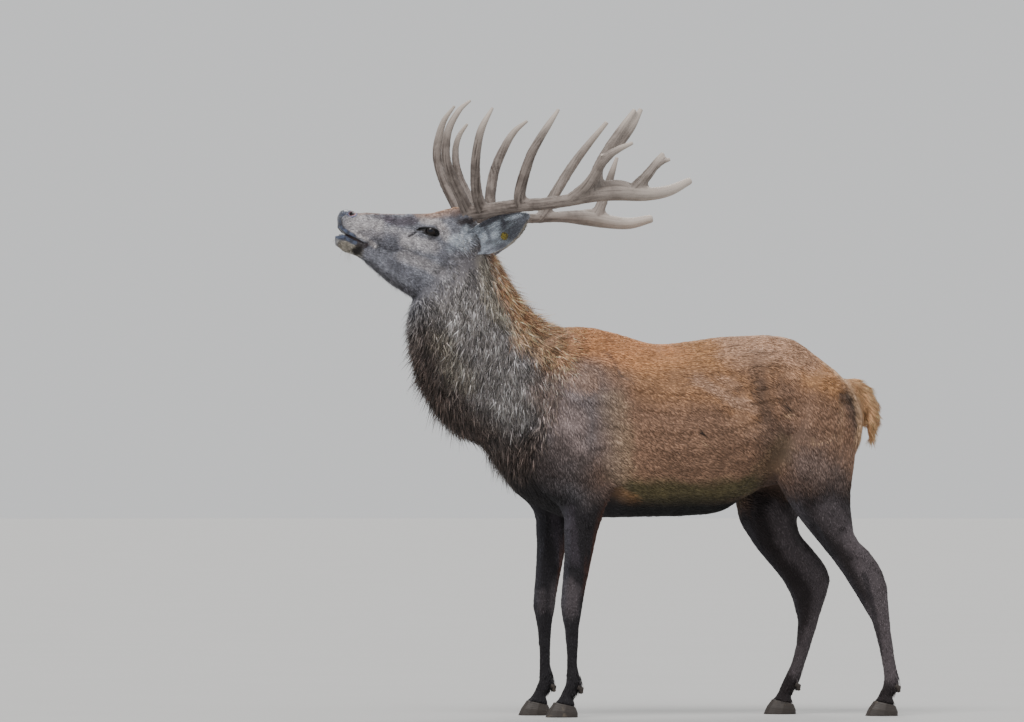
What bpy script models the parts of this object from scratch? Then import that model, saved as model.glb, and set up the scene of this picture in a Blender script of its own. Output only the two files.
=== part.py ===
"""A life-size red deer stag, standing square with its nose raised and its antlers laid back.

The stag looks along -X and its left side is at -Y. It stands on the plane z = 0.
The flesh is modelled whole from lofted masses, made one skin and then parted by thin cuts.
The tables give places in centimetres, measured back from the elbow and up from the ground."""

import math

import bmesh
import bpy
from mathutils import Matrix, Vector

CM = 0.01
GAP = 0.0004  # between pieces that meet face to face
ROOM = 0.0006  # left around a body for the pieces that end on it
FLESH_GRAIN = 0.0065  # the size of the detail that the joined flesh keeps
ANTLER_GRAIN = 0.0036
FLESH_SMOOTHING, ANTLER_SMOOTHING = 7, 4  # smoothing steps after the pieces are joined
FLESH_TRIANGLES = 3500
ANTLER_TRIANGLES = 700
SMALLEST_BODY = 0.4  # the side of a cube, in centimetres; smaller scraps of a cut are dropped
RING_SIDES = 28
ROW_STEPS = 4  # rings made between two rows of a table

LEFT, RIGHT = -1, 1
SIDE_NAMES = {LEFT: "left", RIGHT: "right"}

# The trunk: x, height of the back, height of the belly, half width.
TRUNK = [
    (-31.5, 97, 78, 7),
    (-27, 110, 70, 12.5),
    (-20.5, 118.5, 65, 18),
    (-12.5, 121, 61.5, 20.4),
    (-3, 120.5, 61, 21.6),
    (6.5, 118.3, 61, 22.5),
    (17, 115.5, 61, 24.5),
    (28, 116.3, 61.3, 25),
    (37.5, 117.6, 62.5, 24.5),
    (45.5, 118, 67, 23.5),
    (53, 118.2, 70.5, 22),
    (61, 116.7, 70.5, 20.5),
    (69, 111.3, 69.5, 18),
    (75, 106.6, 72.5, 15),
    (79.5, 101.8, 79, 10.5),
    (82, 97, 86, 6),
]

# The neck: the crest (x, z), the throat (x, z), half width.
NECK = [
    (-35.2, 148.5, -55, 134, 6.8),
    (-30.6, 140.3, -59.2, 127.6, 8.2),
    (-27, 133.1, -60.3, 119.8, 9.8),
    (-22.9, 127.7, -59.6, 112, 11.3),
    (-18.7, 123.5, -57, 103.8, 12.8),
    (-13.6, 121.3, -52.6, 95.6, 14.3),
    (-7.8, 120.6, -45.4, 87.6, 16.3),
    (-1.6, 118.6, -36.8, 82.4, 18.2),
    (6, 113, -28.5, 73.5, 19),
]

# The skull and upper jaw: the bridge (x, z), the underside (x, z), half width.
SKULL = [
    (-82.1, 153.9, -81.8, 151, 1.6),
    (-81.2, 155.7, -80.7, 149.5, 2.9),
    (-79, 156.5, -79, 148, 3.5),
    (-76.3, 155.3, -76.6, 146.6, 3.7),
    (-72.9, 155.6, -72.5, 144.8, 3.8),
    (-67.2, 155.2, -67.2, 142, 4.2),
    (-62.5, 155.1, -62.5, 139.2, 5),
    (-57.9, 155.3, -57.9, 136.1, 6.2),
    (-53.2, 155.4, -53.2, 133, 7.3),
    (-49, 156.4, -48.5, 131.5, 7.6),
    (-44.4, 157.4, -43.8, 131.5, 7.4),
    (-39.7, 154.6, -40, 133, 6.8),
    (-36, 149, -37.5, 136, 5.2),
]

# The lower jaw: the lip and cheek (x, z), the chin and throat (x, z), half width.
JAW = [
    (-83.2, 147.3, -82.9, 145.9, 1.3),
    (-82.2, 148.1, -82, 144.6, 2.2),
    (-80, 148.1, -80, 143.1, 2.8),
    (-77.2, 147, -77.2, 141.9, 3.1),
    (-74, 145.6, -74, 140.6, 3.2),
    (-71.3, 144.5, -71, 138, 3.4),
    (-66.9, 142.6, -66.6, 134.3, 3.9),
    (-62.5, 141.4, -62.2, 131.4, 4.6),
    (-58.2, 140.1, -57.9, 129.4, 5.3),
    (-53.2, 138.9, -52.5, 128.6, 5.8),
]

# A foreleg down to the coronet: front (x, z), back (x, z), half width, distance from the midline.
FORELEG = [
    (-17, 106.5, -2, 109, 4, 11.5),
    (-26, 92, 2.5, 94, 7, 12.6),
    (-26.5, 80.5, 3.8, 80, 7.4, 13.2),
    (-22, 70.5, 2.2, 70.5, 6.6, 13.2),
    (-15, 63.8, -0.2, 65, 5.2, 13.1),
    (-13.7, 56, -2.8, 56.6, 4.2, 12.9),
    (-13.9, 46.8, -4.8, 47.2, 3.6, 12.5),
    (-14.5, 39.2, -6.4, 39.4, 3.2, 12.2),
    (-14.8, 34, -7.3, 33.9, 3.4, 12.1),
    (-13.9, 29, -8.2, 29, 2.7, 12),
    (-13.2, 23.6, -8.6, 23.6, 2.1, 12),
    (-12.8, 16, -8.8, 16, 2, 12),
    (-13.1, 10.8, -7.7, 10.3, 2.6, 12),
    (-14.6, 7.2, -10.2, 6, 2.3, 12),
    (-16.4, 4.7, -10, 3.2, 2.8, 12),
    (-17.6, 2.2, -10.8, 0.8, 2.8, 12),
]
RIGHT_FORELEG_AHEAD = 4.2  # the right foreleg stands this much further forward

# The left hind leg, set well back: the same columns.
LEFT_HINDLEG = [
    (50.5, 100, 74.5, 101, 6, 11.5),
    (48.8, 88.4, 79.3, 88.4, 8.5, 12.3),
    (50.2, 78.5, 78, 77.3, 8.7, 13),
    (53.6, 70.5, 76.8, 68.7, 7.9, 13.5),
    (59, 62.2, 76.8, 61.6, 6.7, 13.8),
    (65.2, 54.5, 78.1, 55.4, 5.2, 13.5),
    (70.6, 48, 81.8, 51.8, 4.2, 13.2),
    (74.7, 42.2, 85.5, 47, 3.7, 13),
    (78, 37, 88, 41.6, 3.6, 12.8),
    (80.4, 33.3, 88.6, 35.9, 3.3, 12.6),
    (82.9, 29, 89, 30.7, 2.8, 12.5),
    (84.6, 23.1, 89.8, 24.4, 2.4, 12.5),
    (86.2, 15.7, 91, 16.6, 2.3, 12.5),
    (86.7, 10.8, 91.9, 10.5, 2.7, 12.5),
    (85.4, 7.2, 90, 5.9, 2.4, 12.5),
    (84, 4.7, 90.4, 3.2, 2.9, 12.5),
    (82.8, 2.2, 89.6, 0.8, 2.9, 12.5),
]

# The right hind leg, set forward under the flank.
RIGHT_HINDLEG = [
    (50.5, 100, 74.5, 101, 6, 11.5),
    (47.8, 88.4, 79.3, 88.4, 8.5, 12.3),
    (46.2, 78.5, 77, 77.3, 8.7, 13),
    (45, 69.5, 72, 68.7, 7.9, 13.5),
    (46.2, 61, 66, 62.6, 6.7, 13.8),
    (50.4, 53.4, 65.8, 57, 5.2, 13.5),
    (54.8, 47.7, 69.6, 52, 4.3, 13.2),
    (58.9, 43, 73.5, 47.4, 3.8, 13),
    (62, 37.9, 75.7, 42.2, 3.6, 12.8),
    (63.6, 33.4, 74.4, 36.6, 3.3, 12.6),
    (64.5, 29.2, 72.4, 30.8, 2.8, 12.5),
    (64.4, 23.1, 70.4, 23.9, 2.5, 12.5),
    (62.7, 16.2, 67.8, 16.2, 2.3, 12.5),
    (60.2, 10.8, 65.5, 10, 2.7, 12.5),
    (58.6, 7.2, 63, 5.7, 2.4, 12.5),
    (57, 4.7, 63.4, 3.2, 2.9, 12.5),
    (55.8, 2.2, 62.6, 0.8, 2.9, 12.5),
]

# The tail: the upper side (x, z), the under side (x, z), half width.
TAIL = [
    (75, 105.2, 77.5, 98.5, 3.4),
    (79.4, 104.8, 80.4, 98, 3.8),
    (83.8, 102.8, 82, 96.2, 3.6),
    (87, 98.6, 83, 93.6, 3.1),
    (88, 93.2, 83.6, 90.6, 2.5),
    (87, 88.8, 84.2, 87.8, 1.6),
    (86, 86, 85, 85.8, 0.5),
]

# Round masses that fill out the form: centre (x, distance from the midline, z), radii (x, y, z).
MASSES = {
    "orbit": ((-53.4, 4.7, 149.6), (3.6, 3, 3)),
    "cheek": ((-50, 4, 141), (6.5, 3.6, 6)),
    "pedicle": ((-43, 4.4, 154.6), (3, 2.6, 3)),
    "shoulder_blade": ((-12, 11.5, 97), (11, 8.4, 17)),
    "haunch": ((66, 11.5, 90), (15, 10, 17)),
    "nostril_wing": ((-79.2, 2, 153.8), (2.2, 1.7, 2.2)),
}

# An antler's stems: (x, distance from the midline, z, radius) along each, from the root to the tip.
LEFT_ANTLER = {
    "beam": [
        (-43.4, 4.4, 153.6, 2.3),
        (-41, 5.6, 155.2, 2.5),
        (-37.6, 10, 155.6, 2.2),
        (-33.7, 15.8, 156.4, 2.1),
        (-28.4, 21.4, 157.1, 2.05),
        (-21.8, 26.4, 157.5, 1.9),
        (-14.7, 30, 158.6, 1.95),
        (-8.2, 32, 160, 2.2),
        (-1.1, 33, 160.7, 2.4),
        (8.4, 32, 160.4, 2.1),
        (16, 30, 161.6, 1.75),
        (22.8, 27.5, 164.6, 1.15),
    ],
    "brow": [
        (-42.2, 5.4, 155.2, 2),
        (-45.1, 8.5, 160.5, 1.8),
        (-48.2, 10.5, 166, 1.6),
        (-50.1, 12, 171.2, 1.4),
        (-50.3, 12.5, 176.2, 1.35),
        (-49, 12, 181.4, 1.15),
        (-45.7, 10.5, 186.6, 0.85),
        (-42, 9, 189.6, 0.4),
    ],
    "bez": [
        (-38.1, 9.6, 155.6, 2),
        (-40.5, 12, 160.5, 1.75),
        (-41.8, 16, 168.5, 1.5),
        (-41.3, 18, 176.2, 1.3),
        (-39.9, 18.5, 181.4, 1.1),
        (-36.6, 17.5, 187.1, 0.45),
    ],
    "trez": [
        (-28.4, 21.4, 157.1, 2.05),
        (-29.1, 23.6, 161.7, 1.8),
        (-26.8, 26.5, 171.1, 1.5),
        (-24.2, 27.5, 176.6, 1.3),
        (-20.6, 27, 182.1, 1),
        (-17.5, 25.5, 186.4, 0.5),
    ],
    "crown_front": [
        (-14.6, 30, 158.6, 1.95),
        (-9.8, 34, 163.5, 1.65),
        (-5.4, 37.5, 170.9, 1.3),
        (-1.4, 38, 173.8, 1.05),
        (3.2, 38, 175.9, 0.55),
    ],
    "crown_top": [
        (-8.5, 32.2, 160.4, 2),
        (-6.6, 32.2, 168.2, 1.6),
        (-2.4, 31.5, 175.3, 1.5),
        (1.8, 30.4, 181.3, 1.2),
        (5.4, 29.4, 186.2, 0.7),
    ],
    "crown_top_twin": [
        (-6, 31.8, 160.6, 2),
        (-6, 31.2, 168.4, 1.5),
        (0.2, 30, 175.5, 1.5),
        (4.6, 28.8, 181.2, 1.3),
        (7.7, 27.4, 186.4, 0.75),
    ],
    "crown_rear": [
        (4, 32.2, 160.8, 2.2),
        (9, 31, 166.2, 1.6),
        (12.4, 30, 170.4, 1.25),
        (14.2, 29.4, 172.9, 0.7),
    ],
    "crown_rear_twin": [
        (12, 30.3, 169.2, 1.05),
        (16.2, 30.7, 171.2, 0.55),
    ],
    "crown_snag": [
        (-5.2, 37.3, 170.6, 0.8),
        (-6.6, 38.9, 172.3, 0.45),
    ],
}
RIGHT_ANTLER = {
    "beam": [
        (-43.4, 4.4, 153, 2.3),
        (-41, 5.6, 154.2, 2.5),
        (-37.2, 10, 154.2, 2.1),
        (-31.7, 15.8, 154.7, 1.8),
        (-24.4, 21.2, 154.6, 1.6),
        (-17.2, 25.4, 154.2, 1.5),
        (-7.4, 29, 154.8, 1.7),
        (0.8, 31, 154.6, 2.4),
        (7.2, 31.5, 153.6, 2.2),
        (14.9, 31, 152.9, 1.85),
        (21.6, 29.5, 154.3, 1.35),
    ],
    "brow": [
        (-42.2, 5.4, 154.4, 2),
        (-44.6, 8.5, 159.9, 1.8),
        (-46.9, 10.5, 164.8, 1.5),
        (-48.5, 12, 170, 1.35),
        (-48.9, 12.5, 174.6, 1.35),
        (-48.2, 12.5, 179.3, 1.2),
        (-46.7, 11.5, 184.2, 0.9),
        (-43.7, 10, 188.6, 0.4),
    ],
    "bez": [
        (-37, 9, 154, 1.9),
        (-39.3, 12, 160.5, 1.65),
        (-41.9, 15, 167.9, 1.3),
        (-42.4, 16.5, 174.6, 1.05),
        (-41.3, 16.5, 179.3, 0.85),
        (-38.7, 15.5, 183.3, 0.4),
    ],
    "trez": [
        (-29.8, 17, 154.6, 1.8),
        (-31.2, 18, 159.5, 1.75),
        (-29.4, 21, 168.5, 1.55),
        (-25.9, 22.5, 176.2, 1.3),
        (-22.7, 22.5, 181.2, 1),
        (-18.8, 21.5, 184.5, 0.45),
    ],
    "crown_front": [
        (-14, 26.5, 154.3, 1.6),
        (-9, 30, 161.4, 1.65),
        (-2.9, 32, 170.6, 1.45),
        (2.4, 32, 177.6, 1.15),
        (8, 31, 184.4, 0.7),
    ],
    "crown_top": [
        (4.4, 31.4, 154.4, 2.1),
        (7.4, 32, 161, 1.45),
        (9.6, 32, 168, 1.15),
        (11.4, 31.4, 173.6, 0.5),
    ],
}
PALM = {LEFT: ((-1, 32.4, 161.6), (6.4, 1.7, 3.2)), RIGHT: ((3, 31.3, 155), (6, 1.6, 2.4))}
# Where each tine is parted from its beam: how far along its stem, 0 to 1, and half the width of the cut.
FORKS = {
    LEFT: {
        "brow": (0.2, 3.4),
        "bez": (0.24, 3.1),
        "trez": (0.2, 3.3),
        "crown_front": (0.45, 2.4),
        "crown_top": (0.4, 4.6),
        "crown_rear": (0.45, 2.4),
    },
    RIGHT: {
        "brow": (0.2, 3.4),
        "bez": (0.24, 3),
        "trez": (0.22, 3.2),
        "crown_front": (0.22, 3),
        "crown_top": (0.42, 2.6),
    },
}
CROWN_CUT = {LEFT: (-18, 28.2, 158), RIGHT: (-19.5, 23.6, 154)}  # where the crown is parted from the beam

EYE_PLACE, EYE_RADIUS = (-53.8, 6.2, 149.35), 1.9

# The root and the tip of each ear; the head leans a little to its right, and that ear hangs lower.
EARS = {LEFT: ((-42, 5.4, 145.2), (-25, 14.2, 154.2)), RIGHT: ((-42, 5.6, 143.4), (-25.6, 16.8, 147.6))}
EAR_FACES = (-0.25, 1, -0.05)  # the way its hollow looks; y is away from the midline
EAR_HALF_WIDTH, EAR_THICKNESS, EAR_CUP, EAR_SAG = 5.3, 0.6, 2.4, 0.8
EAR_BULGE, EAR_WRAP = 0.9, 1.25  # how far its middle bows out, and the half angle its width wraps round
EAR_ROWS, EAR_COLUMNS = 8, 6
TAG_PLACE, TAG_RADIUS, TAG_THICKNESS = (0.54, 0.25), 1.2, 0.3  # along and across the left ear

# Where the body is parted: centre (x, distance from the midline, z), the cut's direction, half its sides.
HEAD_CUT = ((-46, 0, 135.5), (0.6, 0, -0.8), (14, 25))
JAW_CUT = ((-62, 0, 142.3), (0.305, 0, 0.952), (12, 26))
NECK_CUT = ((-23, 0, 101.7), (0.764, 0, -0.645), (29, 28))
LEG_CUTS = {
    "foreleg_left": (((-8, 13, 59.6), (0, 0, 1), (7, 9)), ((-11, 12.1, 34.4), (0, 0, 1), (5, 6))),
    "foreleg_right": (((-12.2, 13, 59.6), (0, 0, 1), (7, 9)), ((-15.2, 12.1, 34.4), (0, 0, 1), (5, 6))),
    "hindleg_left": (((67.2, 13.8, 64.5), (0, 0, 1), (9, 13)), ((82.4, 12.8, 39.5), (0.39, 0, -0.92), (6, 8.2))),
    "hindleg_right": (((57, 13.8, 64.5), (0, 0, 1), (9, 14.5)), ((68.8, 12.8, 40.2), (0.23, 0, -0.97), (6, 9.2))),
}
# The wedge between the lips: the corner of the mouth, then its upper and lower ends in front (x, z).
MOUTH = ((-73, 145.4), (-86, 153), (-86, 149.3))

# The feet: front and back of the coronet (x, z), distance from the midline, half its width.
FEET = {
    "fore_left": ((-16.4, 4.7), (-10, 3.2), -12, 2.8),
    "fore_right": ((-20.6, 4.7), (-14.2, 3.2), 12, 2.8),
    "hind_left": ((84, 4.7), (90.4, 3.2), -12.5, 2.9),
    "hind_right": ((57, 4.7), (63.4, 3.2), 12.5, 2.9),
}
HOOF_SIDES, HOOF_TOE, HOOF_HEEL, HOOF_SPLAY, HOOF_CLEFT = 12, 2.7, 0.7, 0.35, 0.12
HOOF_WAIST, HOOF_WAIST_TOE = 0.45, 0.62  # the height of a claw's middle ring, and its share of the toe
HOOF_TAPER = 0.3  # how much a claw narrows to its toe
HOOF_FLAT_SIDE = 0.85  # how far the side by the cleft reaches, against the outer side
PASTERN_BACK = {"fore_left": -7.7, "fore_right": -11.9, "hind_left": 91.9, "hind_right": 65.5}
DEWCLAW_APART = 1.5
DEWCLAW = [(-1.2, 9.4, 0.8), (0.1, 8.7, 0.75), (0.7, 7.3, 0.5)]  # behind the pastern: x, z, radius

COLOURS = {
    "hide": ((0.30, 0.19, 0.12), 0.85),
    "face": ((0.38, 0.35, 0.32), 0.8),
    "leg": ((0.09, 0.06, 0.05), 0.8),
    "antler": ((0.42, 0.36, 0.30), 0.6),
    "horn": ((0.05, 0.045, 0.04), 0.45),
    "eye": ((0.01, 0.008, 0.007), 0.05),
    "tag": ((0.80, 0.62, 0.05), 0.4),
}


def clear_scene():
    for thing in list(bpy.data.objects):
        bpy.data.objects.remove(thing)


def material(name):
    made = bpy.data.materials.get(name)
    if made:
        return made
    colour, roughness = COLOURS[name]
    made = bpy.data.materials.new(name)
    made.use_nodes = True
    shader = made.node_tree.nodes["Principled BSDF"]
    shader.inputs["Base Color"].default_value = (*colour, 1)
    shader.inputs["Roughness"].default_value = roughness
    shader.inputs["Metallic"].default_value = 0
    return made


def add_object(name, mesh, finish=None):
    thing = bpy.data.objects.new(name, mesh)
    bpy.context.scene.collection.objects.link(thing)
    if finish:
        mesh.materials.clear()
        mesh.materials.append(material(finish))
    return thing


def object_from(bm, name, finish=None):
    bmesh.ops.recalc_face_normals(bm, faces=bm.faces)
    mesh = bpy.data.meshes.new(name)
    bm.to_mesh(mesh)
    bm.free()
    return add_object(name, mesh, finish)


def settled(thing, name, finish=None):
    """Replaces an object by what its modifiers make of it."""
    bpy.context.view_layer.update()
    graph = bpy.context.evaluated_depsgraph_get()
    mesh = bpy.data.meshes.new_from_object(thing.evaluated_get(graph))
    mesh.transform(thing.matrix_world)
    bpy.data.objects.remove(thing)
    mesh.name = name
    return add_object(name, mesh, finish)


def between(rows, steps):
    """Rows spaced more closely along the smooth curve through the given ones."""
    made = []
    for i in range(len(rows) - 1):
        a, b = rows[i], rows[i + 1]
        before = rows[i - 1] if i else a
        after = rows[i + 2] if i + 2 < len(rows) else b
        for k in range(steps):
            t = k / steps
            made.append(
                tuple(
                    q + 0.5 * t * (r - p + t * (2 * p - 5 * q + 4 * r - s + t * (3 * (q - r) + s - p)))
                    for p, q, r, s in zip(before, a, b, after)
                )
            )
    return made + [tuple(rows[-1])]


def loft(name, rings, sides=RING_SIDES):
    """Bridges rings given as (centre, across vector, depth vector) into one closed body."""
    bm = bmesh.new()
    loops = []
    for centre, across, depth in rings:
        frame = Matrix((across, depth, across.cross(depth).normalized())).transposed().to_4x4()
        frame.translation = centre
        circle = bmesh.ops.create_circle(bm, segments=sides, radius=1, matrix=frame)["verts"]
        loops.append(list({edge for vert in circle for edge in vert.link_edges}))
    for first, second in zip(loops, loops[1:]):
        bmesh.ops.bridge_loops(bm, edges=first + second)
    bmesh.ops.edgeloop_fill(bm, edges=loops[0])
    bmesh.ops.edgeloop_fill(bm, edges=loops[-1])
    return object_from(bm, name)


def ring(a, b, half_width, y):
    """A ring that spans two points of the side view, a and b, and is half_width to each side."""
    high, low = Vector((a[0], y, a[1])) * CM, Vector((b[0], y, b[1])) * CM
    return (high + low) / 2, Vector((0, half_width * CM, 0)), (high - low) / 2


def upright_body(name, rows):
    rings = [ring((x, top), (x, low), width, 0) for x, top, low, width in between(rows, ROW_STEPS)]
    return loft(name, rings)


def profile_body(name, rows, steps=ROW_STEPS, sides=RING_SIDES):
    return loft(name, [ring((a, b), (c, d), width, 0) for a, b, c, d, width in between(rows, steps)], sides)


def leg_body(name, rows, side, ahead=0):
    rings = [
        ring((a - ahead, b), (c - ahead, d), width, side * out)
        for a, b, c, d, width, out in between(rows, ROW_STEPS)
    ]
    return loft(name, rings, sides=20)


def ball(name, centre, radii, detail=3, finish=None):
    bm = bmesh.new()
    frame = Matrix.Translation(Vector(centre) * CM) @ Matrix.Diagonal((*[r * CM for r in radii], 1))
    bmesh.ops.create_icosphere(bm, subdivisions=detail, radius=1, matrix=frame)
    return object_from(bm, name, finish)


def one_skin(parts, name, grain, smoothing, triangles, finish):
    """Joins overlapping bodies into one closed skin and thins it to a number of triangles."""
    bm = bmesh.new()
    for part in parts:
        bm.from_mesh(part.data)
        bpy.data.objects.remove(part)
    joined = object_from(bm, name)
    fuse = joined.modifiers.new("fuse", "REMESH")
    fuse.mode, fuse.voxel_size, fuse.adaptivity = "VOXEL", grain, 0
    ease = joined.modifiers.new("ease", "SMOOTH")
    ease.factor, ease.iterations = 0.5, smoothing
    joined = settled(joined, name)
    thin = joined.modifiers.new("thin", "DECIMATE")
    thin.ratio = triangles / (2 * len(joined.data.polygons))
    return settled(joined, name, finish)


def slab(centre, normal, half_sizes, thickness=GAP):
    """A flat cutter square to a direction: half_sizes are along its long sides, the first one near Y."""
    normal = Vector(normal).normalized()
    across = Vector((0, 1, 0)) if abs(normal.y) < 0.9 else Vector((1, 0, 0))
    across = (across - normal * across.dot(normal)).normalized()
    up = normal.cross(across)
    sides = (across * half_sizes[0] * CM, up * half_sizes[1] * CM, normal * thickness / 2)
    frame = Matrix(sides).transposed().to_4x4()
    frame.translation = Vector(centre) * CM
    bm = bmesh.new()
    bmesh.ops.create_cube(bm, size=2, matrix=frame)
    return object_from(bm, "cutter")


def prism(corners, half_width):
    """A cutter with a flat outline in the side view, as wide as the body."""
    bm = bmesh.new()
    ends = [[bm.verts.new(Vector((x, y, z)) * CM) for x, z in corners] for y in (-half_width, half_width)]
    bm.faces.new(ends[0])
    bm.faces.new(ends[1])
    for i in range(len(corners)):
        bm.faces.new((ends[0][i - 1], ends[0][i], ends[1][i], ends[1][i - 1]))
    return object_from(bm, "cutter")


def cut(thing, cutters):
    """Takes the cutters out of a body and returns it as it then is."""
    name, finish = thing.name, thing.data.materials[0].name
    for cutter in cutters:
        take = thing.modifiers.new("cut", "BOOLEAN")
        take.operation, take.solver, take.object = "DIFFERENCE", "EXACT", cutter
    made = settled(thing, name, finish)
    for cutter in cutters:
        bpy.data.objects.remove(cutter)
    return made


def loose_bodies(thing):
    """The separate bodies of a mesh, each as its own object, largest first."""
    bm = bmesh.new()
    bm.from_mesh(thing.data)
    finish = thing.data.materials[0].name
    bpy.data.objects.remove(thing)
    unseen, groups = set(bm.verts), []
    while unseen:
        stack, group = [unseen.pop()], []
        while stack:
            vert = stack.pop()
            group.append(vert)
            for edge in vert.link_edges:
                other = edge.other_vert(vert)
                if other in unseen:
                    unseen.remove(other)
                    stack.append(other)
        groups.append(group)
    made = []
    for group in sorted(groups, key=len, reverse=True):
        part = bmesh.new()
        copies = {vert: part.verts.new(vert.co) for vert in group}
        for face in {face for vert in group for face in vert.link_faces}:
            part.faces.new([copies[vert] for vert in face.verts])
        if part.calc_volume(signed=True) > (SMALLEST_BODY * CM) ** 3:
            made.append(object_from(part, "loose", finish))
        else:
            part.free()
    bm.free()
    return made


def middle(thing):
    corners = [Vector(corner) for corner in thing.bound_box]
    return (corners[0] + corners[6]) / 2 / CM


def name_nearest(parts, places):
    """Gives each named place (in centimetres) the loose body whose middle is nearest to it."""
    left = list(parts)
    for name, place in places.items():
        found = min(left, key=lambda part: (middle(part) - Vector(place)).length)
        left.remove(found)
        found.name = found.data.name = name
    if left:
        raise RuntimeError(f"{len(left)} loose bodies have no name")


def swollen(thing, distance):
    """A copy of a body grown by a small distance, used to cut room for it."""
    bm = bmesh.new()
    bm.from_mesh(thing.data)
    bm.normal_update()
    for vert, normal in [(vert, vert.normal.copy()) for vert in bm.verts]:
        vert.co += normal * distance
    return object_from(bm, "cutter")


def room_around(body):
    """Cutters that clear a body: one grown by the full room, and one by less for its creases."""
    return [swollen(body, ROOM), swollen(body, ROOM / 3)]


def stem_body(name, rows, side, steps=3, sides=12):
    """A round stem along a path of places, each with its radius."""
    rows = between([(x, side * y, z, radius) for x, y, z, radius in rows], steps)
    rings = []
    for i, (x, y, z, radius) in enumerate(rows):
        ahead, behind = rows[min(i + 1, len(rows) - 1)], rows[max(i - 1, 0)]
        along = (Vector(ahead[:3]) - Vector(behind[:3])).normalized()
        across = along.cross(Vector((1, 0.3 * side, 0))).normalized()
        rings.append((Vector((x, y, z)) * CM, across * radius * CM, along.cross(across) * radius * CM))
    return loft(name, rings, sides=sides)


def place_along(rows, side, part):
    """The place and the direction a part of the way along a stem."""
    rows = between([(x, side * y, z, radius) for x, y, z, radius in rows], 8)
    i = min(int(part * (len(rows) - 1)), len(rows) - 2)
    a, b = Vector(rows[i][:3]), Vector(rows[i + 1][:3])
    return a, b - a


def antler(side, stems, body):
    """One antler, parted from the head and at each of its forks."""
    name = f"antler_{SIDE_NAMES[side]}"
    parts = [stem_body(key, rows, side) for key, rows in stems.items()]
    (x, y, z), radii = PALM[side]
    parts.append(ball("palm", (x, side * y, z), radii))
    whole = one_skin(parts, name, ANTLER_GRAIN, ANTLER_SMOOTHING, ANTLER_TRIANGLES, "antler")
    cutters = room_around(body)
    places = {}
    for key, (part, half_width) in FORKS[side].items():
        centre, along = place_along(stems[key], side, part)
        cutters.append(slab(centre, along, (half_width, half_width)))
        places[f"{name}_{key}"] = place_along(stems[key], side, (1 + part) / 2)[0]
    x, y, z = CROWN_CUT[side]
    cutters.append(slab((x, side * y, z), (1, side * 0.5, 0.1), (3.6, 3.6)))
    places[f"{name}_beam"] = place_along(stems["beam"], side, 0.35)[0]
    places[f"{name}_crown"] = place_along(stems["beam"], side, 0.8)[0]
    name_nearest(loose_bodies(cut(whole, cutters)), places)


def ear_point(side, u, v, depth):
    """A place on the ear: u from root to tip, v across it from -1 to 1, depth behind its hollow face."""
    root, tip = (Vector((x, side * y, z)) for x, y, z in EARS[side])
    along = (tip - root).normalized()
    faces = Vector(EAR_FACES)
    faces.y *= side
    faces = (faces - along * faces.dot(along)).normalized()
    across = along.cross(faces).normalized()
    half_width = EAR_HALF_WIDTH * (0.1 + 0.9 * math.sin(math.pi * (0.1 + 0.9 * u)) ** 0.62)
    curl = EAR_CUP * (0.35 + 0.9 * math.sin(math.pi * min(1, u + 0.22)))
    place = root + along * (tip - root).length * u
    place += across * half_width * math.sin(v * EAR_WRAP) / math.sin(EAR_WRAP)
    place += across * EAR_SAG * math.sin(math.pi * u)
    place += faces * (curl * (v * v - 0.55) - depth + EAR_BULGE * math.sin(math.pi * u))
    return place * CM


def ear(side, body):
    """A cupped leaf, rounded at its rim, that ends on the head."""
    bm = bmesh.new()
    lengths = [i / EAR_ROWS for i in range(EAR_ROWS + 1)]
    widths = [-1 + 2 * j / EAR_COLUMNS for j in range(EAR_COLUMNS + 1)]
    sheets = []
    for depth in (0, EAR_THICKNESS):
        sheets.append([[bm.verts.new(ear_point(side, u, v, depth)) for v in widths] for u in lengths])
    for sheet in sheets:
        for low, high in zip(sheet, sheet[1:]):
            for j in range(EAR_COLUMNS):
                bm.faces.new((low[j], low[j + 1], high[j + 1], high[j]))
    rims = [
        sheet[0][:-1] + [row[-1] for row in sheet[:-1]] + sheet[-1][:0:-1] + [row[0] for row in sheet[:0:-1]]
        for sheet in sheets
    ]
    for i in range(len(rims[0])):
        a, b = rims[0][i - 1], rims[0][i]
        c, d = rims[1][i], rims[1][i - 1]
        bm.faces.new((a, b, c, d))
    return parted_from(object_from(bm, f"ear_{SIDE_NAMES[side]}", "face"), body)


def parted_from(thing, body):
    """What of a piece stands clear of a body, as one body with its first name."""
    name = thing.name
    first, *rest = loose_bodies(cut(thing, room_around(body)))
    first.name = first.data.name = name
    for other in rest:
        bpy.data.objects.remove(other)
    return first


def ear_tag(ear_left):
    """A plain round tag, let a little way into the hollow of the left ear."""
    u, v = TAG_PLACE
    centre = ear_point(LEFT, u, v, 0)
    along, across = ear_point(LEFT, u + 0.05, v, 0) - centre, ear_point(LEFT, u, v + 0.05, 0) - centre
    faces = along.cross(across).normalized()
    faces *= -1 if faces.y > 0 else 1
    frame = faces.to_track_quat("Z", "X").to_matrix().to_4x4()
    frame.translation = centre + faces * TAG_THICKNESS * 0.3 * CM
    bm = bmesh.new()
    radius = TAG_RADIUS * CM
    bmesh.ops.create_cone(
        bm, segments=16, radius1=radius, radius2=radius, depth=TAG_THICKNESS * CM, cap_ends=True, matrix=frame
    )
    tag = object_from(bm, "ear_tag", "tag")
    cut(ear_left, [swollen(tag, GAP)])


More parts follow.
